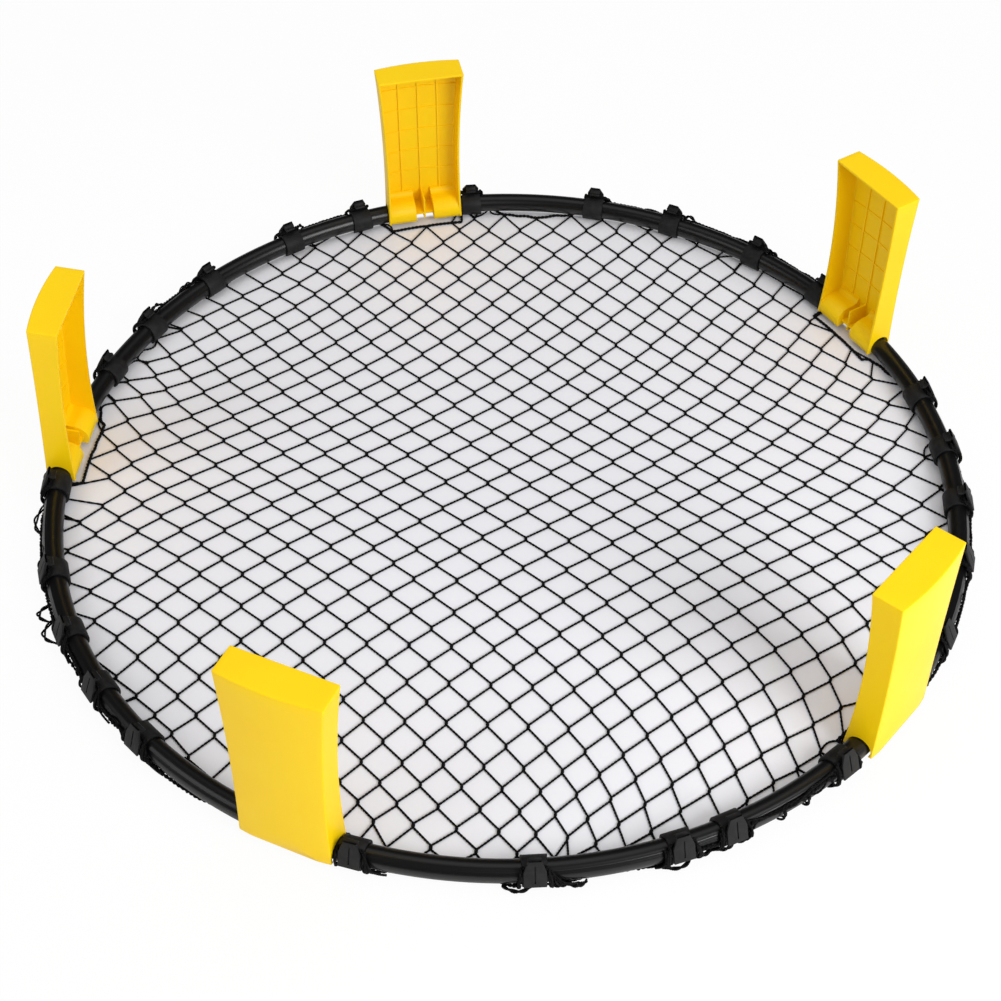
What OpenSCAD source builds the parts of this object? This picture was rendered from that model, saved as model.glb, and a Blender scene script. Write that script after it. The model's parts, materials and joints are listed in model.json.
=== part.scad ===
// Roundnet game set: five curved rim tubes plugged into five moulded legs, with a net stretched
// across the rim and looped over 25 hooks.
// It lies as it is packed and shown: rim and net down on the floor, legs pointing up. In play it is
// turned over and stands on its feet, the flat ends of the legs that point up here.
// Millimetres, +Z up, origin on the floor at the centre of the rim. Leg 1 stands on the +Y side and
// the others follow anticlockwise, seen from above.

/* [Show] */
// Piece to build, or all of them

/* [Rim] */
// Outside diameter of the rim
rim_d = 914; // [700:1:1100]
// Outside diameter of the rim tube
tube_d = 20; // [16:0.5:30]
// Wall thickness of the rim tube
tube_wall = 2; // [1:0.1:3]
// Number of legs, and of rim tubes between them
leg_n = 5; // [3:1:7]

/* [Legs] */
// Height of the foot above the rim tube's axis, with the leg upright
leg_rise = 195.5; // [120:0.5:260]
// Depth of the leg's skirt below the rim tube's axis
leg_drop = 6; // [4:0.5:8]
// Width across the foot
foot_w = 95; // [80:1:120]
// Width at the waist
waist_w = 84.6; // [70:0.1:110]
// Height of the waist above the tube's axis
waist_z = 60; // [20:1:120]
// Depth of the tray's side walls at mid-height, measured inwards from the tube's axis
wall_in_mid = 11; // [8:0.5:14]
// The same at the foot and at the skirt
wall_in_end = 15.6; // [12:0.1:20]
// Farthest point of the crowned outer face, outwards from the tube's axis
face_out = 16.6; // [14:0.1:20]
// Radius of the outer face's crown
crown_r = 285; // [200:5:600]
// Wall thickness of the moulding
wall = 2.4; // [1.6:0.1:3.5]
// How far each leg leans in at rest, in degrees from upright
leg_lean = [4, 7, 4, 2, 2]; // [0:1:10]
// How far a leg can rock either way from upright, in degrees
leg_rock = 15; // [5:1:15]

/* [Leg sockets] */
// Bore radius of each socket, with room for the curve of the tube
socket_r = 11.4; // [10.5:0.1:14]
// Outside radius of the socket's barrel
barrel_r = 15.2; // [13:0.1:17]
// Width of the gap between the two barrels of a leg
barrel_gap = 21; // [12:1:30]
// Thickness of the wall that closes each socket
socket_end = 2; // [1.5:0.1:4]

/* [Leg ribs] */
// Distance between the upright ribs
rib_pitch_x = 22; // [15:1:30]
// Distance between the cross ribs
rib_pitch_z = 29; // [20:1:40]
// Number of cross ribs
rib_n = 5; // [3:1:6]
// Thickness of the upright ribs
rib_t = 1.8; // [1:0.1:3]
// Height of the upright ribs above the tray's floor
rib_h = 1.6; // [0.5:0.1:3]
// Height of the cross ribs above the tray's floor
cross_h = 0.9; // [0.3:0.1:2]

/* [Hooks] */
// Place of each hook, one row for each rim tube, from 0 beside one leg to 1 beside the next
hook_at = [[0.037, 0.238, 0.489, 0.699, 0.872],
           [0.004, 0.258, 0.428, 0.589, 0.748],
           [0, 0.333, 0.616, 0.723, 0.997],
           [0.109, 0.324, 0.498, 0.662, 0.837],
           [0, 0.212, 0.457, 0.67, 0.999]]; // [0:0.001:1]
// Turn of each hook round the tube, from upright towards the middle of the rim
hook_roll = [[28, 28, 28, 28, 27],
             [26, 25, 24, 23, 21],
             [19, 19, 19, 19, 20],
             [26, 27, 27, 29, 26],
             [27, 27, 27, 24, 33]]; // [10:1:35]
// Least distance between a hook and the leg beside it
hook_clear = 2.1; // [1:0.1:10]
// Length of a hook's collar along the tube
hook_w = 20; // [14:0.5:25]
// Added length of the collar on its side away from the tongue
hook_flare = 3; // [1:0.5:6]
// Wall thickness of the collar
collar_t = 2.75; // [1.5:0.05:4]
// Width of the tongue below its shoulders
tongue_w = 19; // [14:0.5:20]
// Width of the tongue where it curls over
curl_w = 11; // [6:0.5:14]
// Thickness of the tongue
tongue_t = 2.1; // [1.5:0.1:3]
// Height above the tube's axis at which the tongue starts to curl
tongue_top = 18; // [16:0.5:22]
// Outer radius of the curl
curl_r = 5.3; // [4:0.1:6]

/* [Net] */
// Thickness of the net's cord where the net lies flat
cord_t = 2; // [1:0.1:3]
// Side of one square gap plus one cord, about twice the real mesh
net_pitch = 54.5; // [50:0.5:80]
// Turn of the net's cords against the +X axis, in degrees
net_turn = 29.8; // [0:0.1:90]
// Thickness of the gathered edge cord
edge_d = 2.6; // [1.5:0.1:4]

/* [Hidden] */
$fn = 96;
fine_fn = 360;                           // facets of the large circles
side_fn = 720;                           // and of the very large ones along the leg
eps = 0.01;
over = 1;                                // a cutting shape runs this far past what it cuts
tube_r = tube_d / 2;
rim_r = rim_d / 2 - tube_r;
span = 360 / leg_n;
fit = 0.25;                              // clearance of a pushed-on collar
collar_in = tube_r + fit;
collar_out = collar_in + collar_t;
axis_z = collar_out;                     // the collars carry the rim 3 mm clear of the floor

// The tube is curved and the sockets are straight: the leg's rocking axis runs where the tube
// strays from it equally at both ends of a socket.
side_x = waist_w / 2;
socket_x = barrel_gap / 2 + socket_end;
function sag(x) = rim_r - sqrt(rim_r * rim_r - x * x);
hinge_r = rim_r - (sag(socket_x) + sag(side_x)) / 2;
tube_stop = 1;                           // the tube ends this far short of the socket's end wall
tube_from = asin((socket_x + tube_stop) / rim_r);

// Concave sides of the leg: one arc each, drawn in at the waist
side_h = leg_rise - waist_z;
side_in = (foot_w - waist_w) / 2;
side_r = (side_h * side_h + side_in * side_in) / (2 * side_in);
// Concave inner edge of the side walls
edge_h = (leg_rise + leg_drop) / 2;
edge_mid = (leg_rise - leg_drop) / 2;
edge_in = wall_in_end - wall_in_mid;
edge_r = (edge_h * edge_h + edge_in * edge_in) / (2 * edge_in);
bevel = 2;                               // depth of the bevel along the skirt of the outer face
bevel_h = 14;
web_t = 2;
web_in = 9;                              // inner edge of the web between the barrels
web_z = 1;
rib_gap = 31;                            // from the foot down to the uppermost cross rib
rib_top = leg_rise - rib_gap;
blend = 6;                               // radius where barrel and tray floor meet
blend_from = barrel_r / 3;
block_t = 2 * barrel_r + wall_in_end + face_out;
skirt_x = side_x + side_r - sqrt(side_r * side_r - waist_z * waist_z);

tongue_gap = 0.2;                        // between the collar and the tongue's inner face
tongue_in = collar_out + tongue_gap;
tongue_out = tongue_in + tongue_t;
tongue_foot = -5.8;                      // lower edge of the tongue, from the tube's axis
shoulder = 9;                            // the tongue narrows above this height
curl_turn = 140;
curl_y = tongue_out - curl_r;
groove_w = 1.2;                          // groove down the middle of the tongue
groove_d = 1.1;
groove_foot = -1;
groove_h = 18;
root_foot = -4;                          // block that joins tongue and collar
root_h = 15.5;
root_in = 0.55 * collar_out;
saddle_r = 7.2;                          // hollow of the block, under the curl
saddle_y = 9.6;
saddle_z = 16.9;
mouth_from = -150;                       // the collar is open between these two angles
mouth_to = -80;
hook_from = asin((skirt_x + hook_clear + (hook_w + hook_flare) / 2) / rim_r);

net_z = 0.5;
ring_w = 3;                              // border of the net, outside the rim tube
ring_lap = 0.5;
ring_in = collar_out - ring_lap;
ring_out = ring_in + ring_w;
net_n = ceil((rim_r + ring_out) / net_pitch);
loop_gap = 1.5;                          // the net leaves this much room either side of a hook
loop_x = (hook_w + hook_flare) / 2 + loop_gap;
loop_lap = 1;                            // and turn back this far inwards of its collar
loop_in = collar_out + loop_lap;
edge_gap = 0.4;                          // room between the edge cord and the collar
edge_y = collar_out + edge_d / 2 + edge_gap;
edge_z = axis_z - 5;
post_r = cord_t / 2;
loop_room = 0.8;                         // clear space between a tongue and the loop over it
loop_side = tongue_w / 2 + post_r + loop_room;
bar_r = 1.2 * post_r;                    // the part of a loop that lies in the curl
bar_over = 1.5 * bar_r;                  // and runs this far past the loop's sides
loop_lift = 50;                          // turn from the tongue's level to the loop in its hook

yellow = [1, 0.8, 0.06];
black = [0.07, 0.07, 0.08];
soft_black = [0.13, 0.13, 0.14];
cord_black = [0.04, 0.04, 0.04];

// Azimuth of leg i, counted from 1
function leg_az(i) = 90 + (i - 1) * span;

// Angle past the leg before it of a hook placed at a share of the free rim
function hook_angle(share) = hook_from + share * (span - 2 * hook_from);

// Carries a piece drawn on the tube's axis at the origin, +Y outwards, to an azimuth on the rim
module on_rim(az, r = rim_r) {
    rotate([0, 0, az - 90])
        translate([0, r, axis_z])
            children();
}

// A cylinder along X, centred on the origin
module rod(r, l) {
    rotate([0, 90, 0])
        cylinder(r = r, h = l, center = true);
}

// ---- Rim tube: a curved pipe whose ends plug into the sockets of two legs ----

module rim_tube(i) {
    color(black)
        translate([0, 0, axis_z])
            rotate([0, 0, leg_az(i) + tube_from])
                rotate_extrude(angle = span - 2 * tube_from)
                    translate([rim_r, 0])
                        difference() {
                            circle(r = tube_r);
                            circle(r = tube_r - tube_wall);
                        }
}

// ---- Leg: an open moulded tray with a crowned face and two sockets at its skirt ----

// Front outline of the leg drawn in X and Z, its walls set in by t all round
module leg_outline(t) {
    difference() {
        translate([-foot_w / 2 - over, -leg_drop])
            square([foot_w + 2 * over, leg_rise + leg_drop - t]);
        for (s = [-1, 1])
            translate([s * (waist_w / 2 + side_r), waist_z])
                circle(r = side_r + t, $fn = side_fn);
    }
}

// The outline made solid and crowned, its walls set in by t all round
module leg_block(t) {
    intersection() {
        translate([0, face_out - t, 0])
            rotate([90, 0, 0])
                linear_extrude(height = block_t)
                    leg_outline(t);
        translate([0, face_out - crown_r, -leg_drop - over])
            cylinder(r = crown_r - t, h = leg_rise + leg_drop + 2 * over, $fn = fine_fn);
    }
}

// A rib h above the tray's crowned floor, centred on x and standing on z
module floor_rib(x, z, size_x, size_z, h) {
    difference() {
        translate([x - size_x / 2, 0, z])
            cube([size_x, face_out, size_z]);
        translate([0, face_out - crown_r, z - over])
            cylinder(r = crown_r - wall - h, h = size_z + 2 * over, $fn = fine_fn);
    }
}

// Three upright ribs and the cross ribs between them
module leg_ribs() {
    for (k = [-1:1])
        floor_rib(k * rib_pitch_x, 0, rib_t, leg_rise, rib_h);
    for (k = [0:rib_n - 1])
        floor_rib(0, rib_top - k * rib_pitch_z, foot_w, rib_t, cross_h);
}

// Two half-round barrels that run back into the tray's floor, with a cross-shaped web between them
module leg_barrels() {
    len_x = (foot_w - barrel_gap) / 2;
    for (s = [-1, 1])
        translate([s * (barrel_gap + len_x) / 2, 0, 0]) {
            rod(barrel_r, len_x);
            translate([-len_x / 2, 0, -leg_drop])
                cube([len_x, face_out, barrel_r + leg_drop]);
            difference() {
                translate([-len_x / 2, blend_from, barrel_r - over])
                    cube([len_x, face_out - blend_from, blend + over]);
                translate([0, blend_from, barrel_r + blend])
                    rod(blend, len_x + 2 * over);
            }
        }
    translate([-web_t / 2, -web_in, -leg_drop])
        cube([web_t, web_in + face_out, leg_drop + barrel_r + blend]);
    translate([-barrel_gap / 2 - over, -web_in, web_z - web_t / 2])
        cube([barrel_gap + 2 * over, web_in + face_out, web_t]);
}

// The leg upright, on its rocking axis
module leg_upright() {
    cut = foot_w / 2;
    difference() {
        leg_block(0);
        difference() {
            translate([0, -eps, -eps])
                leg_block(wall);
            leg_ribs();
            leg_barrels();
        }
        // concave inner edge of the side walls
        translate([0, -wall_in_mid - edge_r, edge_mid])
            rotate([0, 90, 0])
                cylinder(r = edge_r, h = foot_w + 2 * over, center = true, $fn = side_fn);
        // sockets, open towards the neighbouring tubes and along the skirt
        for (s = [-1, 1])
            translate([s * (socket_x + cut / 2), 0, 0])
                rod(socket_r, cut);
        // bevel along the skirt of the outer face
        translate([0, face_out - bevel, -leg_drop])
            rotate([-atan(bevel / bevel_h), 0, 0])
                translate([-foot_w / 2, 0, -leg_drop])
                    cube([foot_w, bevel_h, leg_drop + norm([bevel, bevel_h])]);
    }
}

module leg(i) {
    color(yellow)
        on_rim(leg_az(i), hinge_r)
            rotate([leg_lean[i - 1], 0, 0])
                leg_upright();
}

// ---- Hook: a split collar on the tube with a curled tongue that holds a loop of the net ----

// Carries an outline drawn across the tube, X outwards and Y up, to a bar of length l along it
module along(l) {
    rotate([90, 0, 90])
        linear_extrude(height = l, center = true)
            children();
}

module hook_collar() {
    far = collar_out + over;
    intersection() {
        along(hook_w + 2 * hook_flare)
            difference() {
                circle(r = collar_out);
                circle(r = collar_in);
                polygon([[0, 0],
                         2 * collar_out * [cos(mouth_from), sin(mouth_from)],
                         2 * collar_out * [cos(mouth_to), sin(mouth_to)]]);
            }
        translate([0, 0, -far])
            linear_extrude(height = 2 * far)
                polygon([[-(hook_w + hook_flare) / 2, -far], [(hook_w + hook_flare) / 2, -far],
                         [hook_w / 2, far], [-hook_w / 2, far]]);
    }
}

// The tongue from the side: a flat strip that curls over towards the tube at its top
module tongue_side() {
    translate([tongue_in, tongue_foot])
        square([tongue_t, tongue_top - tongue_foot]);
    translate([curl_y, tongue_top])
        difference() {
            circle(r = curl_r);
            circle(r = curl_r - tongue_t);
            rotate([0, 0, curl_turn])
                square([2 * curl_r, 2 * curl_r]);
            translate([-2 * curl_r, -2 * curl_r])
                square([4 * curl_r, 2 * curl_r]);
        }
}

// The tongue from the front: full width up to its shoulders, then drawn in to the curl
module tongue_front() {
    tip = tongue_top + curl_r + over;
    polygon([[-tongue_w / 2, tongue_foot], [tongue_w / 2, tongue_foot],
             [tongue_w / 2, shoulder], [curl_w / 2, tongue_top], [curl_w / 2, tip],
             [-curl_w / 2, tip], [-curl_w / 2, tongue_top], [-tongue_w / 2, shoulder]]);
}

module tongue() {
    difference() {
        intersection() {
            along(tongue_w + 2 * over)
                tongue_side();
            translate([0, tongue_out + over, 0])
                rotate([90, 0, 0])
                    linear_extrude(height = tongue_out + over)
                        tongue_front();
        }
        translate([-groove_w / 2, tongue_out - groove_d, groove_foot])
            cube([groove_w, groove_d + over, groove_h]);
    }
}

module hook_body() {
    difference() {
        union() {
            hook_collar();
            tongue();
            along(tongue_w)
                difference() {
                    translate([root_in, root_foot])
                        square([tongue_in - root_in, root_h]);
                    translate([saddle_y, saddle_z])
                        circle(r = saddle_r);
                }
        }
        rod(collar_in, hook_w + 2 * hook_flare);
    }
}

module hook(i, j) {
    color(soft_black)
        on_rim(leg_az(i) + hook_angle(hook_at[i - 1][j - 1]))
            rotate([hook_roll[i - 1][j - 1], 0, 0])
                hook_body();
}

// ---- Net: a square mesh under the rim, its edge looped up behind the hooks' tongues ----

// Repeats what is drawn on the tube's axis at each hook, +Y outwards
module at_each_hook() {
    for (i = [1:leg_n], share = hook_at[i - 1])
        rotate([0, 0, leg_az(i) + hook_angle(share) - 90])
            translate([0, rim_r])
                children();
}

// A rectangle centred on a hook, from one distance off the tube's axis to another
module hook_notch(w, from, to) {
    translate([-w / 2, from])
        square([w, to - from]);
}

// The net in plan: a square mesh cut round, a border, and a frame of cord round each hook
module net_flat() {
    gap = net_pitch - cord_t;
    disc_r = rim_r + ring_in + over;
    union() {
        difference() {
            circle(r = disc_r, $fn = fine_fn);
            rotate([0, 0, net_turn])
                for (ix = [-net_n:net_n], iy = [-net_n:net_n])
                    if (norm([ix, iy]) * net_pitch < disc_r + net_pitch)
                        translate([ix * net_pitch - gap / 2, iy * net_pitch - gap / 2])
                            square(gap);
            at_each_hook()
                hook_notch(2 * loop_x, -loop_in, ring_in);
        }
        difference() {
            circle(r = rim_r + ring_out, $fn = fine_fn);
            circle(r = rim_r + ring_in, $fn = fine_fn);
        }
        at_each_hook()
            difference() {
                hook_notch(2 * loop_x + cord_t, -loop_in - cord_t, ring_in + over);
                hook_notch(2 * loop_x - cord_t, -loop_in, ring_in);
            }
    }
}

module net() {
    color(cord_black)
        translate([0, 0, net_z])
            linear_extrude(height = cord_t)
                net_flat();
}

// A loop of the net at one hook: up from the net on both sides and over through the tongue's curl
module hook_loop(roll) {
    turn = roll + loop_lift;
    for (s = [-1, 1])
        translate([s * loop_side, 0, 0]) {
            translate([0, edge_y, net_z + cord_t - axis_z])
                cylinder(r = post_r, h = axis_z - net_z - cord_t);
            rotate([90, 0, 90])
                rotate_extrude(angle = turn)
                    translate([edge_y, 0])
                        circle(r = post_r);
        }
    rotate([turn, 0, 0])
        translate([0, edge_y, 0])
            rod(bar_r, 2 * (loop_side + bar_over));
}

// The net's gathered edge along one tube, with a loop over each of its hooks
module edge_cord(i) {
    row = [for (share = hook_at[i - 1]) hook_angle(share)];
    arm = asin((loop_side + edge_d) / (rim_r + edge_y));
    from = row[0] - arm;
    to = row[len(row) - 1] + arm;
    color(cord_black) {
        translate([0, 0, edge_z])
            rotate([0, 0, leg_az(i) + from])
                rotate_extrude(angle = to - from)
                    translate([rim_r + edge_y, 0])
                        circle(r = edge_d / 2);
        for (j = [1:len(row)])
            on_rim(leg_az(i) + row[j - 1])
                hook_loop(hook_roll[i - 1][j - 1]);
    }
}

// ---- Every piece ----

for (i = [1:leg_n]) {
    rim_tube(i);
    leg(i);
    edge_cord(i);
    for (j = [1:len(hook_at[i - 1])])
        hook(i, j);
}
net();
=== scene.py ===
"""Looks for a roundnet game set: a rim of curved tubes, five moulded legs, split hooks and a net.

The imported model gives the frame. Every length here is in metres, with +Z up, and an angle in
degrees unless its name says otherwise. The set lies with its rim on the floor and its legs up.
"""
import json
import logging
import math
from contextlib import contextmanager
from dataclasses import dataclass, field
from enum import Enum
from typing import Dict, Iterator, List, Optional, Sequence, Tuple, Union

import bmesh
import bpy
import numpy as np
from mathutils import Matrix, Vector

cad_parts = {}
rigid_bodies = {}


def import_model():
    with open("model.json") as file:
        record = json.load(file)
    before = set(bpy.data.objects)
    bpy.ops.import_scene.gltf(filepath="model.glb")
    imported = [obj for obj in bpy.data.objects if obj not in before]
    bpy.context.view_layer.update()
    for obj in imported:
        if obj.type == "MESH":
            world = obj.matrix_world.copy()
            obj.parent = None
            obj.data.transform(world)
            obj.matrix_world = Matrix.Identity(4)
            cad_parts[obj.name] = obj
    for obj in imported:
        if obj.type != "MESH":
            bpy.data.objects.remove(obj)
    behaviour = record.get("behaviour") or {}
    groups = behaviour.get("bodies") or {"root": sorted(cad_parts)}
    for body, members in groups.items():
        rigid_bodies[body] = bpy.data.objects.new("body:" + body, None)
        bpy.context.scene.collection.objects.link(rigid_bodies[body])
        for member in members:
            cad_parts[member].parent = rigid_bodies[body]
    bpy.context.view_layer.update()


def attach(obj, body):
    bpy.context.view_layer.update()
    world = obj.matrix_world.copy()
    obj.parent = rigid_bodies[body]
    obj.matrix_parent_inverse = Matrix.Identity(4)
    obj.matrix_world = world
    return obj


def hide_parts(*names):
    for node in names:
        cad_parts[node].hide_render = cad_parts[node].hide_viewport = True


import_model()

log = logging.getLogger("roundnet")

Point = Tuple[float, float, float]
Colour = Tuple[float, float, float]

MM = 0.001
TINY = 1e-12
# Square of a shallow bow's height over its span squared, for each share of spare length.
BOW = 0.375
LEG_COUNT = 5
SPAN = 360.0 / LEG_COUNT
FIRST_LEG = 90.0
RIM_R = 0.447
AXIS_Z = 0.013
TUBE_R = 0.010
HINGE_R = 0.4459096
LEG_LEAN = (4.0, 7.0, 4.0, 2.0, 2.0)
HOOK_FROM = 7.31557
HOOK_AT = (
    (0.044, 0.243, 0.493, 0.704, 0.876),
    (0.010, 0.266, 0.438, 0.599, 0.760),
    (0.0, 0.333, 0.604, 0.709, 0.973),
    (0.109, 0.324, 0.498, 0.662, 0.837),
    (0.0, 0.212, 0.457, 0.67, 0.999),
)
HOOK_ROLL = (
    (28.0, 28.0, 28.0, 28.0, 27.0),
    (26.0, 25.0, 24.0, 23.0, 21.0),
    (19.0, 19.0, 19.0, 19.0, 20.0),
    (26.0, 27.0, 27.0, 29.0, 26.0),
    (27.0, 27.0, 27.0, 24.0, 33.0),
)
# How far round the tube the net's edge lies midway past each hook: 0 is under the tube's axis,
# 21 on its outer side, and less than 0 inside the rim. In millimetres along the surface.
EDGE_AT = (
    (26.0, 6.0, 26.0, -6.0, -16.0),
    (19.0, 20.0, 27.0, 24.0, 8.0),
    (-8.0, 1.0, 23.0, 28.0, 12.0),
    (19.0, 20.0, 16.0, 12.0, -12.0),
    (24.0, 26.0, 24.0, -12.0, -14.0),
)
# Slack loops of the net's edge: tube, hook, where the loop starts, peaks and ends past the hook,
# its level round the tube, and how far it stands out. In millimetres.
LOOPS = (
    (1, 2, -25, -19, -13, 26, 5), (1, 3, 11, 25, 40, 27, 3), (1, 3, 58, 71, 82, 27, 5),
    (2, 1, 12, 46, 57, 17, 8), (2, 2, 28, 39, 53, 17, 13), (2, 2, 46, 66, 79, 17, 14),
    (3, 2, -26, -13, -2, 15, 6), (3, 2, 12, 20, 28, 15, 2), (3, 2, 25, 34, 42, 15, 4),
    (3, 3, -19, -4, 9, 15, 7), (3, 3, 8, 16, 27, 15, 2), (3, 4, -18, -10, 1, 15, 4),
    (3, 4, -1, 6, 19, 15, 3), (4, 1, -24, -14, -6, 15, 3), (4, 2, 8, 18, 30, 15, 3),
    (5, 2, -24, -17, -10, 26, 3), (5, 3, -27, -17, -9, 27, 5), (5, 4, -20, -13, -7, 26, 3),
)
# Strands that slant down a tube's outer face: tube, hook, where the upper end is past the hook
# and round the tube, and the same of the lower end. In millimetres.
DRAPES = (
    (2, 3, 12, 33, 30, 20), (2, 3, 14, 31, 26, 14), (2, 4, 12, 33, 34, 16), (2, 5, 12, 33, 36, 14),
    (2, 5, 13, 31, 30, 9), (3, 1, 11, 33, 24, 9), (3, 1, 12, 31, 30, 12), (3, 2, 12, 33, 36, 12),
    (3, 2, 13, 30, 30, 9), (3, 2, 11, 34, 42, 14), (3, 3, -13, 33, -20, 8), (3, 3, -15, 34, -16, 6),
    (3, 3, -13, 31, -23, 12), (3, 3, 12, 33, 26, 8), (3, 4, -13, 33, -19, 6),
    (3, 4, -12, 31, -22, 9), (3, 4, 12, 33, 60, 27), (3, 4, 12, 31, 18, 8), (3, 4, 56, 27, 106, 33),
    (3, 4, 46, 27, 45, 8), (3, 4, 71, 27, 72, 8), (3, 5, -13, 33, -18, 8), (3, 5, 11, 31, 12, 10),
    (4, 1, 12, 32, 24, 12), (4, 2, -13, 32, -24, 12),
)


def leg_azimuth(index: int) -> float:
    """Returns the azimuth of leg ``index``, counted from 1."""
    return FIRST_LEG + (index - 1) * SPAN


def hook_azimuth(index: int, share: float) -> float:
    """Returns the azimuth of a hook on tube ``index`` at a share of its free length."""
    return leg_azimuth(index) + HOOK_FROM + share * (SPAN - 2 * HOOK_FROM)


def hook_radians(index: int, number: int) -> float:
    """Returns the azimuth in radians of hook ``number`` on tube ``index``, both from 1."""
    return math.radians(hook_azimuth(index, HOOK_AT[index - 1][number - 1]))


def turn_from(turn: np.ndarray, at: Union[float, np.ndarray]) -> np.ndarray:
    """Returns the turn from ``at`` to ``turn`` in radians, at most half a circle either way."""
    return (turn - at + math.pi) % (2 * math.pi) - math.pi


def on_circle(turn: np.ndarray, reach: Union[float, np.ndarray]) -> np.ndarray:
    """Returns plan points, one row each, at azimuths in radians and distances in metres."""
    return np.stack([np.cos(turn), np.sin(turn)], 1) * np.asarray(reach)[..., None]


def run_along(path: np.ndarray) -> np.ndarray:
    """Returns the distance along a path at each of its points."""
    return np.concatenate([[0], np.cumsum(np.linalg.norm(np.diff(path, axis=0), axis=1))])


def unit_rows(rows: np.ndarray) -> np.ndarray:
    """Returns vectors, one row each, brought to unit length."""
    return rows / np.maximum(np.linalg.norm(rows, axis=1, keepdims=True), TINY)


def eased(share: np.ndarray) -> np.ndarray:
    """Returns a share from 0 to 1 with a soft start and end."""
    return share * share * (3 - 2 * share)


# ---- Materials ----

Number = Union["Value", float, int]


class Value:
    """A shader socket that carries a number; arithmetic on it adds Math nodes."""

    def __init__(self, sheet: "NodeSheet", socket: bpy.types.NodeSocket) -> None:
        """Wraps one socket.

        Args:
            sheet: The node sheet that the socket belongs to.
            socket: The output socket.
        """
        self.sheet = sheet
        self.socket = socket

    def __add__(self, other: Number) -> "Value":
        """Adds."""
        return self.sheet.maths("ADD", self, other)

    __radd__ = __add__

    def __mul__(self, other: Number) -> "Value":
        """Multiplies."""
        return self.sheet.maths("MULTIPLY", self, other)

    def __truediv__(self, other: Number) -> "Value":
        """Divides by another value."""
        return self.sheet.maths("DIVIDE", self, other)

    def __pow__(self, other: Number) -> "Value":
        """Raises to a power."""
        return self.sheet.maths("POWER", self, other)

    def sine(self) -> "Value":
        """Returns the sine of this value, taken in radians."""
        return self.sheet.maths("SINE", self)

    def between(self, low: float, high: float) -> "Value":
        """Returns a smooth 0 to 1 step as this value goes from ``low`` to ``high``."""
        return self.sheet.step(self, low, high)


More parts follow.
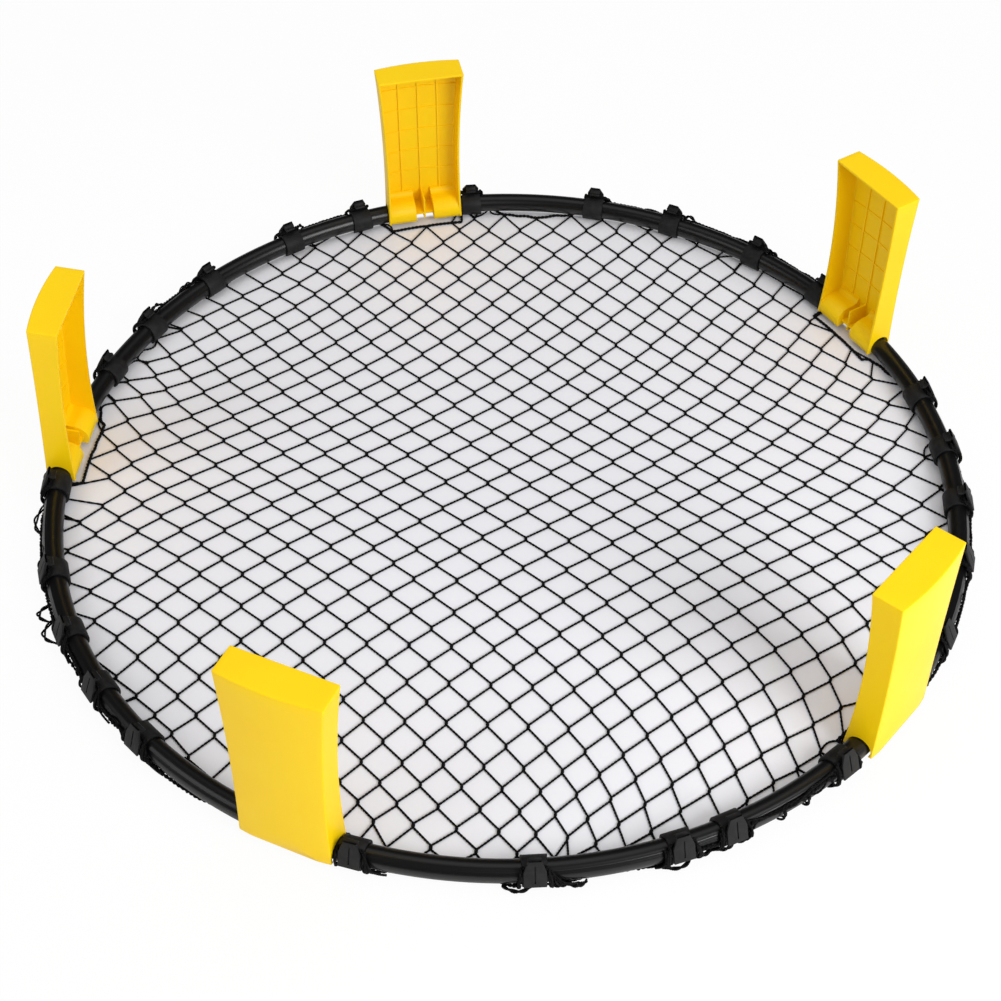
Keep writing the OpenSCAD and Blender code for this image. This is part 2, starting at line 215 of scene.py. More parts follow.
class NodeSheet:
    """The node tree of one material, with short ways to add nodes to it."""

    def __init__(self, name: str) -> None:
        """Makes an empty material.

        Args:
            name: The material's name.
        """
        self.material = bpy.data.materials.new(name)
        self.material.use_nodes = True
        self.tree = self.material.node_tree
        self.tree.nodes.clear()
        self.output = self.tree.nodes.new("ShaderNodeOutputMaterial")

    def node(self, kind: str, settings: Optional[dict] = None, **inputs) -> bpy.types.Node:
        """Adds a node.

        Args:
            kind: The node's type.
            settings: Properties to set before its sockets.
            **inputs: Values or links, by socket name with spaces as underscores.

        Returns:
            The new node.
        """
        made = self.tree.nodes.new(kind)
        for key, value in (settings or {}).items():
            setattr(made, key, value)
        for key, value in inputs.items():
            self.feed(made.inputs[key.replace("_", " ")], value)
        return made

    def feed(self, socket: bpy.types.NodeSocket, value) -> None:
        """Links a value or a socket to ``socket``, or sets it to a plain number or colour.

        Args:
            socket: The input socket.
            value: What it is to carry.
        """
        if isinstance(value, Value):
            value = value.socket
        if isinstance(value, bpy.types.NodeSocket):
            self.tree.links.new(value, socket)
        elif isinstance(value, (tuple, list)) and socket.type == "RGBA" and len(value) == 3:
            socket.default_value = (*value, 1.0)
        else:
            socket.default_value = value

    def maths(self, operation: str, *values: Number) -> Value:
        """Adds a Math node and returns its result.

        Args:
            operation: The operation's name.
            *values: Its inputs.

        Returns:
            The result.
        """
        made = self.tree.nodes.new("ShaderNodeMath")
        made.operation = operation
        for socket, value in zip(made.inputs, values):
            self.feed(socket, value)
        return Value(self, made.outputs[0])

    def step(self, value: Number, low: float, high: float) -> Value:
        """Returns a smooth 0 to 1 step as ``value`` goes from ``low`` to ``high``.

        Args:
            value: The value.
            low: Where the step starts.
            high: Where it ends.

        Returns:
            The step.
        """
        made = self.node("ShaderNodeMapRange", {"interpolation_type": "SMOOTHSTEP"}, Value=value)
        made.inputs["From Min"].default_value = low
        made.inputs["From Max"].default_value = high
        return Value(self, made.outputs["Result"])

    def place(self) -> bpy.types.NodeSocket:
        """Returns the point's place in the object's own coordinates."""
        return self.node("ShaderNodeTexCoord").outputs["Object"]

    def flat_place(self) -> bpy.types.NodeSocket:
        """Returns the point's place on the piece's own UV map."""
        return self.node("ShaderNodeTexCoord").outputs["UV"]

    def parts(self, vector: bpy.types.NodeSocket) -> Tuple[Value, Value, Value]:
        """Splits a vector into its three numbers."""
        made = self.node("ShaderNodeSeparateXYZ", Vector=vector)
        return tuple(Value(self, made.outputs[k]) for k in "XYZ")

    def joined(self, x: Number, y: Number, z: Number) -> bpy.types.NodeSocket:
        """Joins three numbers into a vector."""
        return self.node("ShaderNodeCombineXYZ", X=x, Y=y, Z=z).outputs["Vector"]

    def noise(self, where: bpy.types.NodeSocket, scale: float, detail: float = 2.0,
              roughness: float = 0.5) -> Value:
        """Returns a noise value from 0 to 1.

        Args:
            where: The coordinates it is taken at.
            scale: Number of waves per metre.
            detail: Number of finer layers.
            roughness: Weight of the finer layers.
        """
        made = self.node("ShaderNodeTexNoise", Vector=where, Scale=scale, Detail=detail,
                         Roughness=roughness)
        return Value(self, made.outputs[0])

    def blend(self, share: Number, first, second) -> bpy.types.NodeSocket:
        """Mixes two colours by ``share``.

        Args:
            share: Share of the second colour.
            first: The first colour.
            second: The second colour.

        Returns:
            The mixed colour.
        """
        made = self.tree.nodes.new("ShaderNodeMix")
        made.data_type = "RGBA"
        self.feed(made.inputs[0], share)
        self.feed(made.inputs[6], first)
        self.feed(made.inputs[7], second)
        return made.outputs[2]

    def bump(self, height: Value, depth: float, strength: float = 1.0) -> bpy.types.NodeSocket:
        """Returns a normal bumped by ``height`` times ``depth`` metres."""
        return self.node("ShaderNodeBump", Height=height, Distance=depth,
                         Strength=strength).outputs["Normal"]

    def finish(self, **inputs) -> bpy.types.Material:
        """Adds the Principled shader with these inputs and returns the material."""
        shader = self.node("ShaderNodeBsdfPrincipled", None, **inputs)
        self.tree.links.new(shader.outputs[0], self.output.inputs["Surface"])
        return self.material


class Slot(Enum):
    """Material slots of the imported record."""

    RIM = "rim_plastic"
    HOOK = "hook_plastic"
    LEG = "leg_plastic"
    CORD = "net_cord"


@dataclass(frozen=True)
class GlossyMoulding:
    """Bright satin ABS of the legs, with a fine mould grain and faint handling marks."""

    name: str = "yellow_abs"
    colour: Colour = (1.0, 0.665, 0.002)
    deep: Colour = (0.98, 0.572, 0.001)
    scuff: Colour = (1.0, 0.74, 0.04)

    def material(self) -> bpy.types.Material:
        """Returns the finished material."""
        sheet = NodeSheet(self.name)
        where = sheet.place()
        cloud = sheet.noise(where, 11.0, 3.0)
        grain = sheet.noise(where, 1400.0, 2.0, 0.6)
        x, y, z = sheet.parts(where)
        drawn = sheet.noise(sheet.joined(x * 160, y * 160, z * 6), 1.0, 3.0, 0.6)
        marks = sheet.noise(where, 260.0, 5.0, 0.75).between(0.63, 0.72)
        base = sheet.blend(cloud.between(0.35, 0.75) * 0.35, self.colour, self.deep)
        base = sheet.blend(marks * 0.22, base, self.scuff)
        rough = 0.33 + cloud * 0.08 + drawn * 0.07 + marks * 0.12
        height = grain * 0.6 + drawn * 0.4
        return sheet.finish(Base_Color=base, Roughness=rough, IOR=1.5, Specular_IOR_Level=0.2,
                            Subsurface_Weight=0.03, Subsurface_Radius=(0.004, 0.002, 0.0005),
                            Normal=sheet.bump(height, 0.00006, 0.6))


@dataclass(frozen=True)
class DrawnTube:
    """Black extruded tube: satin, with fine lines drawn along it and a slight haze of wear."""

    name: str = "black_tube"
    colour: Colour = (0.0025, 0.0025, 0.003)
    haze: Colour = (0.006, 0.006, 0.0068)

    def material(self) -> bpy.types.Material:
        """Returns the finished material."""
        sheet = NodeSheet(self.name)
        along, around, _ = sheet.parts(sheet.flat_place())
        lines = sheet.noise(sheet.joined(along * 3, around * 900, 0.0), 1.0, 3.0, 0.6)
        cloud = sheet.noise(sheet.joined(along * 9, around * 40, 0.0), 1.0, 3.0)
        rubs = sheet.noise(sheet.joined(along * 60, around * 260, 0.0), 1.0, 4.0, 0.7)
        worn = rubs.between(0.62, 0.74)
        base = sheet.blend(cloud.between(0.35, 0.7) * 0.5 + worn * 0.35, self.colour, self.haze)
        rough = 0.25 + cloud * 0.08 + lines * 0.05 + worn * 0.10
        return sheet.finish(Base_Color=base, Roughness=rough, IOR=1.5, Specular_IOR_Level=0.5,
                            Normal=sheet.bump(lines, 0.00005, 0.5))


@dataclass(frozen=True)
class DullNylon:
    """Dull dark nylon of the hooks, with an eroded mould texture and paler rubbed spots."""

    name: str = "hook_nylon"
    colour: Colour = (0.0085, 0.0085, 0.0095)
    rubbed: Colour = (0.020, 0.020, 0.022)

    def material(self) -> bpy.types.Material:
        """Returns the finished material."""
        sheet = NodeSheet(self.name)
        where = sheet.place()
        grain = sheet.noise(where, 2200.0, 3.0, 0.6)
        cloud = sheet.noise(where, 120.0, 4.0, 0.65)
        base = sheet.blend(cloud.between(0.4, 0.7) * 0.5, self.colour, self.rubbed)
        rough = 0.50 + cloud * 0.12 + grain * 0.06
        return sheet.finish(Base_Color=base, Roughness=rough, IOR=1.5, Specular_IOR_Level=0.3,
                            Normal=sheet.bump(grain, 0.00012, 0.5))


@dataclass(frozen=True)
class TwistedCord:
    """Black twisted polyester cord, with painted shade in the grooves between its plies and painted
    light on their crests. U runs along it in metres and V once round it.
    """

    name: str
    plies: float = 3.0
    lay: float = 0.0062
    colour: Colour = (0.0025, 0.0025, 0.0028)
    # Paler tone painted on the plies' crests: painted light, with a random fibre tone mixed in.
    crest_light_and_fibre: Colour = (0.010, 0.010, 0.011)

    def material(self) -> bpy.types.Material:
        """Returns the finished material."""
        sheet = NodeSheet(self.name)
        along, around, _ = sheet.parts(sheet.flat_place())
        turn = (along / self.lay + around) * (2 * math.pi)
        ply = (turn * self.plies).sine() * 0.5 + 0.5
        fibres = sheet.noise(sheet.joined(along * 700, around * 9 + along * 900, 0.0), 1.0, 3.0)
        # Painted shade and light: each ply's crest is painted lighter and the groove beside it
        # darker, broken up by the fibre noise.
        base = sheet.blend(ply * fibres, self.colour, self.crest_light_and_fibre)
        return sheet.finish(Base_Color=base, Roughness=0.6 + fibres * 0.2,
                            Specular_IOR_Level=0.15,
                            Normal=sheet.bump(ply * 0.8 + fibres * 0.2, 0.0004, 0.8))


@dataclass(frozen=True)
class StudioFloor:
    """Pale board under the set: grey-white inside the rim and plain white outside it."""

    name: str = "studio_floor"
    inside: Colour = (0.81, 0.81, 0.85)
    outside: Colour = (0.90, 0.90, 0.90)
    glow: float = 1.0
    glow_share: float = 0.94

    def material(self) -> bpy.types.Material:
        """Returns the finished material."""
        sheet = NodeSheet(self.name)
        where = sheet.place()
        x, y, _ = sheet.parts(where)
        far = (x * x + y * y) ** 0.5
        outer = far.between(RIM_R - 0.003, RIM_R + 0.003)
        cloud = sheet.noise(where, 6.0, 2.0)
        base = sheet.blend(cloud * 0.25, self.inside, tuple(c * 0.97 for c in self.inside))
        base = sheet.blend(outer, base, self.outside)
        board = sheet.node("ShaderNodeBsdfPrincipled", None, Base_Color=base, Roughness=0.45,
                           Specular_IOR_Level=0.35)
        white = sheet.node("ShaderNodeEmission", None, Color=(1.0, 1.0, 1.0), Strength=self.glow)
        rays = sheet.node("ShaderNodeLightPath")
        seen = Value(sheet, rays.outputs["Is Camera Ray"])
        share = outer * seen * self.glow_share
        mixed = sheet.node("ShaderNodeMixShader")
        sheet.feed(mixed.inputs[0], share)
        sheet.tree.links.new(board.outputs[0], mixed.inputs[1])
        sheet.tree.links.new(white.outputs[0], mixed.inputs[2])
        sheet.tree.links.new(mixed.outputs[0], sheet.output.inputs["Surface"])
        return sheet.material


# ---- Modelling by operators ----

class Bench:
    """The few operator steps that every piece shares."""

    @staticmethod
    def clear() -> None:
        """Leaves edit mode and deselects everything."""
        if bpy.context.object and bpy.context.object.mode != "OBJECT":
            bpy.ops.object.mode_set(mode="OBJECT")
        for other in list(bpy.context.view_layer.objects.selected):
            other.select_set(False)

    @staticmethod
    def pick(piece: bpy.types.Object) -> None:
        """Makes ``piece`` the one selected and active object."""
        Bench.clear()
        piece.select_set(True)
        bpy.context.view_layer.objects.active = piece

    @staticmethod
    @contextmanager
    def editing(piece: bpy.types.Object,
                whole: bool = False) -> Iterator[bmesh.types.BMesh]:
        """Opens edit mode on ``piece`` and closes it at the end.

        Args:
            piece: A mesh object.
            whole: Whether all of it starts selected, or nothing.

        Yields:
            The edit mesh.
        """
        Bench.pick(piece)
        bpy.ops.object.mode_set(mode="EDIT")
        bpy.ops.mesh.select_mode(type="VERT")
        bpy.ops.mesh.select_all(action="SELECT" if whole else "DESELECT")
        yield bmesh.from_edit_mesh(piece.data)
        bpy.ops.object.mode_set(mode="OBJECT")

    @staticmethod
    def settle(piece: bpy.types.Object, name: Optional[str] = None) -> bpy.types.Object:
        """Applies the object's place to its mesh and names both.

        Args:
            piece: A mesh object.
            name: Its new name, or None to keep the old one.

        Returns:
            The same object.
        """
        Bench.pick(piece)
        bpy.ops.object.transform_apply(location=True, rotation=True, scale=True)
        if name:
            piece.name = name
            piece.data.name = name
        return piece

    @staticmethod
    def box(low: Point, high: Point, cuts: int = 0) -> bpy.types.Object:
        """Adds a box between two corners.

        Args:
            low: Lowest corner.
            high: Highest corner.
            cuts: Number of even cuts across each edge.

        Returns:
            The new object, with its place in its mesh.
        """
        Bench.clear()
        middle = [(a + b) / 2 for a, b in zip(low, high)]
        bpy.ops.mesh.primitive_cube_add(size=1.0, location=middle)
        piece = bpy.context.object
        piece.scale = [b - a for a, b in zip(low, high)]
        Bench.settle(piece)
        if cuts:
            with Bench.editing(piece, whole=True):
                bpy.ops.mesh.subdivide(number_cuts=cuts)
        return piece

    @staticmethod
    def rod(radius: float, length: float, centre: Point, sides: int = 64) -> bpy.types.Object:
        """Adds a cylinder along X.

        Args:
            radius: Its radius.
            length: Its length.
            centre: Its middle point.
            sides: Number of sides.

        Returns:
            The new object, with its place in its mesh.
        """
        Bench.clear()
        bpy.ops.mesh.primitive_cylinder_add(vertices=sides, radius=radius, depth=length,
                                            location=centre, rotation=(0, math.pi / 2, 0))
        return Bench.settle(bpy.context.object)

    @staticmethod
    def modify(piece: bpy.types.Object, kind: str, **settings) -> None:
        """Adds a modifier to ``piece`` and applies it.

        Args:
            piece: A mesh object.
            kind: The modifier's type.
            **settings: Its properties.
        """
        Bench.pick(piece)
        bpy.ops.object.modifier_add(type=kind)
        modifier = piece.modifiers[-1]
        for key, value in settings.items():
            setattr(modifier, key, value)
        bpy.ops.object.modifier_apply(modifier=modifier.name)

    @staticmethod
    def round_edges(piece: bpy.types.Object, width: float, segments: int = 2,
                    angle: float = 40.0) -> None:
        """Rounds the edges of ``piece`` that are sharper than ``angle``.

        Args:
            piece: A mesh object.
            width: Width of the rounding.
            segments: Its number of steps.
            angle: The least sharp angle that is rounded.
        """
        Bench.modify(piece, "BEVEL", width=width, segments=segments, limit_method="ANGLE",
                     angle_limit=math.radians(angle))

    @staticmethod
    def combine(piece: bpy.types.Object, other: bpy.types.Object, how: str) -> None:
        """Joins, cuts or intersects ``piece`` with ``other``, which is then removed.

        Args:
            piece: The object that stays.
            other: The object that is used up.
            how: The Boolean operation.
        """
        Bench.modify(piece, "BOOLEAN", operation=how, solver="EXACT", object=other)
        bpy.data.objects.remove(other)

    @staticmethod
    def smooth(piece: bpy.types.Object, angle: float = 32.0) -> None:
        """Shades ``piece`` smooth except across edges sharper than ``angle``."""
        Bench.pick(piece)
        bpy.ops.object.shade_smooth_by_angle(angle=math.radians(angle))

    @staticmethod
    def tidy(piece: bpy.types.Object) -> None:
        """Merges doubled points and turns every face outwards."""
        with Bench.editing(piece, whole=True):
            bpy.ops.mesh.remove_doubles(threshold=1e-6)
            bpy.ops.mesh.normals_make_consistent(inside=False)

    @staticmethod
    def twin(piece: bpy.types.Object, name: str, move: Matrix) -> bpy.types.Object:
        """Returns a copy of ``piece`` with its own mesh, moved by ``move``.

        Args:
            piece: A mesh object.
            name: The copy's name.
            move: Where it goes.

        Returns:
            The copy.
        """
        copy = piece.copy()
        copy.data = piece.data.copy()
        bpy.context.scene.collection.objects.link(copy)
        copy.data.transform(move)
        copy.name = name
        copy.data.name = name
        return copy

    @staticmethod
    def dress(piece: bpy.types.Object, material: bpy.types.Material, slot: Slot, body: str,
              replaced: Sequence[str]) -> None:
        """Gives ``piece`` its material and body, and hides the nodes that it stands for.

        Args:
            piece: A finished piece.
            material: Its material.
            slot: Its material slot; not used.
            body: The body that it rides on.
            replaced: The nodes that it stands for.
        """
        piece.data.materials.clear()
        piece.data.materials.append(material)
        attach(piece, body)
        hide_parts(*replaced)
        log.info("%s: %d faces on body %s", piece.name, len(piece.data.polygons), body)


def onto_rim(azimuth: float, radius: float = RIM_R, lean: float = 0.0) -> Matrix:
    """Returns the move from the tube's axis at the origin, +Y outwards, to a place on the rim.

    Args:
        azimuth: Where on the rim.
        radius: Distance from the rim's centre.
        lean: Turn about the local X axis, top inwards.

    Returns:
        The move.
    """
    return (Matrix.Rotation(math.radians(azimuth - 90), 4, "Z")
            @ Matrix.Translation((0, radius, AXIS_Z))
            @ Matrix.Rotation(math.radians(lean), 4, "X"))


# ---- Rim tubes ----

@dataclass
class RimTube:
    """One curved tube of the rim, plugged into two legs."""

    index: int
    radius: float = TUBE_R
    wall: float = 2 * MM
    end_from: float = 1.7307
    sides: int = 56
    steps: int = 96
    seam_turns: Tuple[float, float] = (52.0, 232.0)
    seam_height: float = 0.16 * MM
    seam_half: float = 2.2

    @property
    def name(self) -> str:
        """The tube's name, the same as its node's."""
        return f"rim_tube_{self.index}"

    def ring(self) -> bpy.types.Object:
        """Adds the tube's round section with its two parting lines, at azimuth 0.

        Returns:
            The section.
        """
        Bench.clear()
        bpy.ops.mesh.primitive_circle_add(vertices=self.sides, radius=self.radius,
                                          location=(RIM_R, 0, AXIS_Z),
                                          rotation=(math.pi / 2, 0, 0))
        piece = Bench.settle(bpy.context.object)
        for turn in self.seam_turns:
            self.raise_seam(piece, turn)
        return piece

    def raise_seam(self, piece: bpy.types.Object, turn: float) -> None:
        """Lifts the section's point nearest ``turn`` and draws its neighbours in beside it.

        Args:
            piece: The round section.
            turn: Where the parting line is.
        """
        def angle(point: Vector) -> float:
            return math.degrees(math.atan2(point.z - AXIS_Z, point.x - RIM_R)) - turn

        with Bench.editing(piece) as mesh:
            mesh.verts.ensure_lookup_table()
            off = [(angle(v.co) + 180) % 360 - 180 for v in mesh.verts]
            near = sorted(range(len(off)), key=lambda k: abs(off[k]))[:3]
            order = sorted(near, key=lambda k: off[k])
            for k, shift in zip(order, (-self.seam_half, 0.0, self.seam_half)):
                around = math.radians(turn + shift)
                reach = self.radius + (self.seam_height if shift == 0 else 0)
                mesh.verts[k].co = Vector((RIM_R + reach * math.cos(around), 0,
                                           AXIS_Z + reach * math.sin(around)))
            bmesh.update_edit_mesh(piece.data)

    def build(self, material: bpy.types.Material) -> bpy.types.Object:
        """Spins the section round the rim, gives it a wall and dresses it.

        Args:
            material: The tube's finish.

        Returns:
            The finished tube.
        """
        piece = self.ring()
        start = leg_azimuth(self.index) + self.end_from
        length = SPAN - 2 * self.end_from
        piece.rotation_euler.z = math.radians(start)
        Bench.settle(piece, f"tube_{self.index}")
        with Bench.editing(piece, whole=True):
            bpy.ops.mesh.spin(steps=self.steps, angle=math.radians(length),
                              center=(0, 0, 0), axis=(0, 0, 1))
        Bench.tidy(piece)
        self.keep_turn(piece, start)
        Bench.modify(piece, "SOLIDIFY", thickness=self.wall, offset=-1.0)
        self.map_surface(piece, start)
        Bench.smooth(piece, 50.0)
        Bench.dress(piece, material, Slot.RIM, "rim", [self.name])
        return piece

    def keep_turn(self, piece: bpy.types.Object, start: float) -> None:
        """Turns the tube back into its own span if the spin ran the other way.

        Args:
            piece: The tube.
            start: Azimuth of its start.
        """
        middle = math.radians(start + SPAN / 2 - self.end_from)
        toward = mesh_points(piece)[:, :2] @ np.array([math.cos(middle), math.sin(middle)])
        if toward.mean() < 0.8 * RIM_R:
            Bench.pick(piece)
            piece.rotation_euler.z = math.radians(SPAN - 2 * self.end_from)
            Bench.settle(piece)

    def map_surface(self, piece: bpy.types.Object, start: float) -> None:
        """Writes a UV map in metres, along the tube and round it.

        Args:
            piece: The tube.
            start: Azimuth of its start.
        """
        mesh = piece.data
        points = mesh_points(piece)
        azimuth = np.degrees(np.arctan2(points[:, 1], points[:, 0])) - start
        azimuth = (azimuth + 20) % 360 - 20
        outwards = np.hypot(points[:, 0], points[:, 1]) - RIM_R
        around = np.arctan2(points[:, 2] - AXIS_Z, outwards)
        loops = np.zeros(len(mesh.loops), np.int32)
        mesh.loops.foreach_get("vertex_index", loops)
        turn = around[loops]
        starts = np.array([p.loop_start for p in mesh.polygons])
        sizes = np.array([p.loop_total for p in mesh.polygons])
        first = np.repeat(turn[starts], sizes)
        turn = first + (turn - first + math.pi) % (2 * math.pi) - math.pi
        flat = np.stack([np.radians(azimuth[loops]) * RIM_R, turn * self.radius], 1)
        layer = mesh.uv_layers.new(name="surface")
        layer.data.foreach_set("uv", flat.astype(np.float32).ravel())


def mesh_points(piece: bpy.types.Object) -> np.ndarray:
    """Returns the points of a mesh object, one row each.

    Args:
        piece: A mesh object.

    Returns:
        The points.
    """
    flat = np.zeros(len(piece.data.vertices) * 3, np.float32)
    piece.data.vertices.foreach_get("co", flat)
    return flat.reshape(-1, 3).astype(float)


# ---- Legs ----

@dataclass
class Leg:
    """The moulded leg: a waisted tray with a crowned face, ribs and two closed sockets."""

    rise: float = 195.5 * MM
    drop: float = 6 * MM
    foot_w: float = 95 * MM
    waist_w: float = 84.6 * MM
    waist_z: float = 60 * MM
    in_mid: float = 11 * MM
    in_end: float = 15.6 * MM
    face_out: float = 16.6 * MM
    crown_r: float = 285 * MM
    wall: float = 2.4 * MM
    socket_r: float = 11.4 * MM
    barrel_r: float = 15.2 * MM
    barrel_gap: float = 21 * MM
    socket_end: float = 2 * MM
    rib_pitch_x: float = 22 * MM
    rib_pitch_z: float = 29 * MM
    rib_gap: float = 31 * MM
    rib_t: float = 1.8 * MM
    rib_h: float = 1.6 * MM
    cross_h: float = 0.9 * MM
    rib_n: int = 5
    web_t: float = 2 * MM
    web_in: float = 9 * MM
    web_z: float = 1 * MM
    fillet: float = 6 * MM
    bevel: float = 2 * MM
    bevel_h: float = 14 * MM
    cuts: int = 17
    over: float = 1 * MM
    edge: float = 0.9 * MM
    soft: float = 0.45 * MM

    def half_width(self, z: float) -> float:
        """Returns half the leg's width at a height above the tube's axis.

        Args:
            z: The height.

        Returns:
            The half width.
        """
        height = self.rise - self.waist_z
        drawn = (self.foot_w - self.waist_w) / 2
        radius = (height ** 2 + drawn ** 2) / (2 * drawn)
        return self.waist_w / 2 + radius - math.sqrt(radius ** 2 - (z - self.waist_z) ** 2)

    def face(self, x: float) -> float:
        """Returns how far out the crowned face is at a distance from the leg's middle."""
        return self.face_out - self.crown_r + math.sqrt(self.crown_r ** 2 - x ** 2)

    def inner_edge(self, z: float) -> float:
        """Returns the place of the side walls' inner edge, negative inwards.

        Args:
            z: Height above the tube's axis.

        Returns:
            The place.
        """
        half = (self.rise + self.drop) / 2
        middle = (self.rise - self.drop) / 2
        drawn = self.in_end - self.in_mid
        radius = (half ** 2 + drawn ** 2) / (2 * drawn)
        return -(self.in_mid + radius - math.sqrt(max(radius ** 2 - (z - middle) ** 2, 0)))

    def block(self, inset: float, inner: Optional[float], low: float,
              high: float) -> bpy.types.Object:
        """Models the leg's waisted and crowned block.

        Args:
            inset: Distance that its sides and face are set in.
            inner: Place of its inner side, or None to follow the side walls' edge.
            low: Its lowest height.
            high: Its highest height.

        Returns:
            The block.
        """
        piece = Bench.box((-1, 0, low), (1, 1, high), self.cuts)
        with Bench.editing(piece) as mesh:
            for v in mesh.verts:
                x = v.co.x * (self.half_width(v.co.z) - inset)
                near = self.inner_edge(v.co.z) if inner is None else inner
                far = self.face(x) - inset
                v.co = Vector((x, near + (far - near) * v.co.y, v.co.z))
            bmesh.update_edit_mesh(piece.data)
        return piece

    def rib(self, x: float, z: float, size_x: float, size_z: float,
            height: float) -> bpy.types.Object:
        """Models a rib that stands on the tray's crowned floor.

        Args:
            x: Its middle across the leg.
            z: Its lowest height.
            size_x: Its width.
            size_z: Its height up the leg.
            height: How far it stands up.

        Returns:
            The rib.
        """
        piece = Bench.box((x - size_x / 2, 0, z), (x + size_x / 2, 1, z + size_z))
        with Bench.editing(piece, whole=True):
            bpy.ops.mesh.subdivide(number_cuts=7)
        with Bench.editing(piece) as mesh:
            for v in mesh.verts:
                floor = self.face(v.co.x) - self.wall
                near, far = floor - height, floor + self.wall / 2
                v.co.y = near + (far - near) * v.co.y
            bmesh.update_edit_mesh(piece.data)
        return piece

    def barrel(self, side: int) -> bpy.types.Object:
        """Models one socket's half-round barrel with the block behind it.

        Args:
            side: -1 or 1.

        Returns:
            The barrel.
        """
        length = self.foot_w / 2
        start = self.barrel_gap / 2
        piece = Bench.rod(self.barrel_r, length, (side * (start + length / 2), 0, 0), 96)
        Bench.round_edges(piece, self.soft)
        ends = sorted((side * start, side * (start + length)))
        back = Bench.box((ends[0], 0, -self.drop * 2), (ends[1], self.face_out, self.barrel_r))
        Bench.combine(piece, back, "UNION")
        foot = self.barrel_r / 3
        wedge = Bench.box((ends[0], foot, self.barrel_r - self.over),
                          (ends[1], self.face_out, self.barrel_r + self.fillet))
        hollow = Bench.rod(self.fillet, length + 2 * self.over,
                           (side * (start + length / 2), foot, self.barrel_r + self.fillet), 48)
        Bench.combine(wedge, hollow, "DIFFERENCE")
        Bench.combine(piece, wedge, "UNION")
        return piece

    def model(self) -> bpy.types.Object:
        """Models the leg upright on its rocking axis.

        Returns:
            The leg, at the origin with +Y outwards.
        """
        hollow = self.block(self.wall, -3 * self.in_end, -3 * self.drop, self.rise - self.wall)
        Bench.round_edges(hollow, self.edge, 3)
        for side in (-1, 1):
            Bench.combine(hollow, self.barrel(side), "DIFFERENCE")
        for low, high in (
            ((-self.web_t / 2, -self.web_in, -4 * self.drop),
             (self.web_t / 2, self.face_out, self.barrel_r + self.fillet)),
            ((-self.barrel_gap / 2 - self.over, -self.web_in, self.web_z - self.web_t / 2),
             (self.barrel_gap / 2 + self.over, self.face_out, self.web_z + self.web_t / 2)),
        ):
            web = Bench.box(low, high)
            Bench.combine(hollow, web, "DIFFERENCE")
        for k in (-1, 0, 1):
            rib = self.rib(k * self.rib_pitch_x, 0.0, self.rib_t, self.rise, self.rib_h)
            Bench.combine(hollow, rib, "DIFFERENCE")
        for k in range(self.rib_n):
            z = self.rise - self.rib_gap - k * self.rib_pitch_z
            rib = self.rib(0.0, z, self.foot_w, self.rib_t, self.cross_h)
            Bench.combine(hollow, rib, "DIFFERENCE")
        piece = self.block(0.0, None, -self.drop, self.rise)
        Bench.round_edges(piece, self.edge, 3)
        Bench.combine(piece, hollow, "DIFFERENCE")
        length = self.foot_w / 2
        start = self.barrel_gap / 2 + self.socket_end
        for side in (-1, 1):
            bore = Bench.rod(self.socket_r, length, (side * (start + length / 2), 0, 0), 96)
            Bench.combine(piece, bore, "DIFFERENCE")
        slope = math.atan(self.bevel / self.bevel_h)
        cutter = Bench.box((-self.foot_w, 0, -self.drop),
                           (self.foot_w, self.bevel_h, self.bevel_h * 1.02))
        cutter.rotation_euler.x = -slope
        cutter.location = (0, self.face_out - self.bevel, -self.drop)
        Bench.settle(cutter)
        Bench.combine(piece, cutter, "DIFFERENCE")
        Bench.tidy(piece)
        Bench.smooth(piece)
        piece.name = "leg_master"
        return piece

    def build(self, material: bpy.types.Material) -> List[bpy.types.Object]:
        """Models the leg once and stands a copy in each of the five places.

        Args:
            material: The legs' finish.

        Returns:
            The five legs.
        """
        master = self.model()
        legs = []
        for index in range(1, LEG_COUNT + 1):
            move = onto_rim(leg_azimuth(index), HINGE_R, LEG_LEAN[index - 1])
            piece = Bench.twin(master, f"foot_leg_{index}", move)
            Bench.dress(piece, material, Slot.LEG, f"leg_{index}", [f"leg_{index}"])
            legs.append(piece)
        bpy.data.objects.remove(master)
        return legs


# ---- Hooks ----

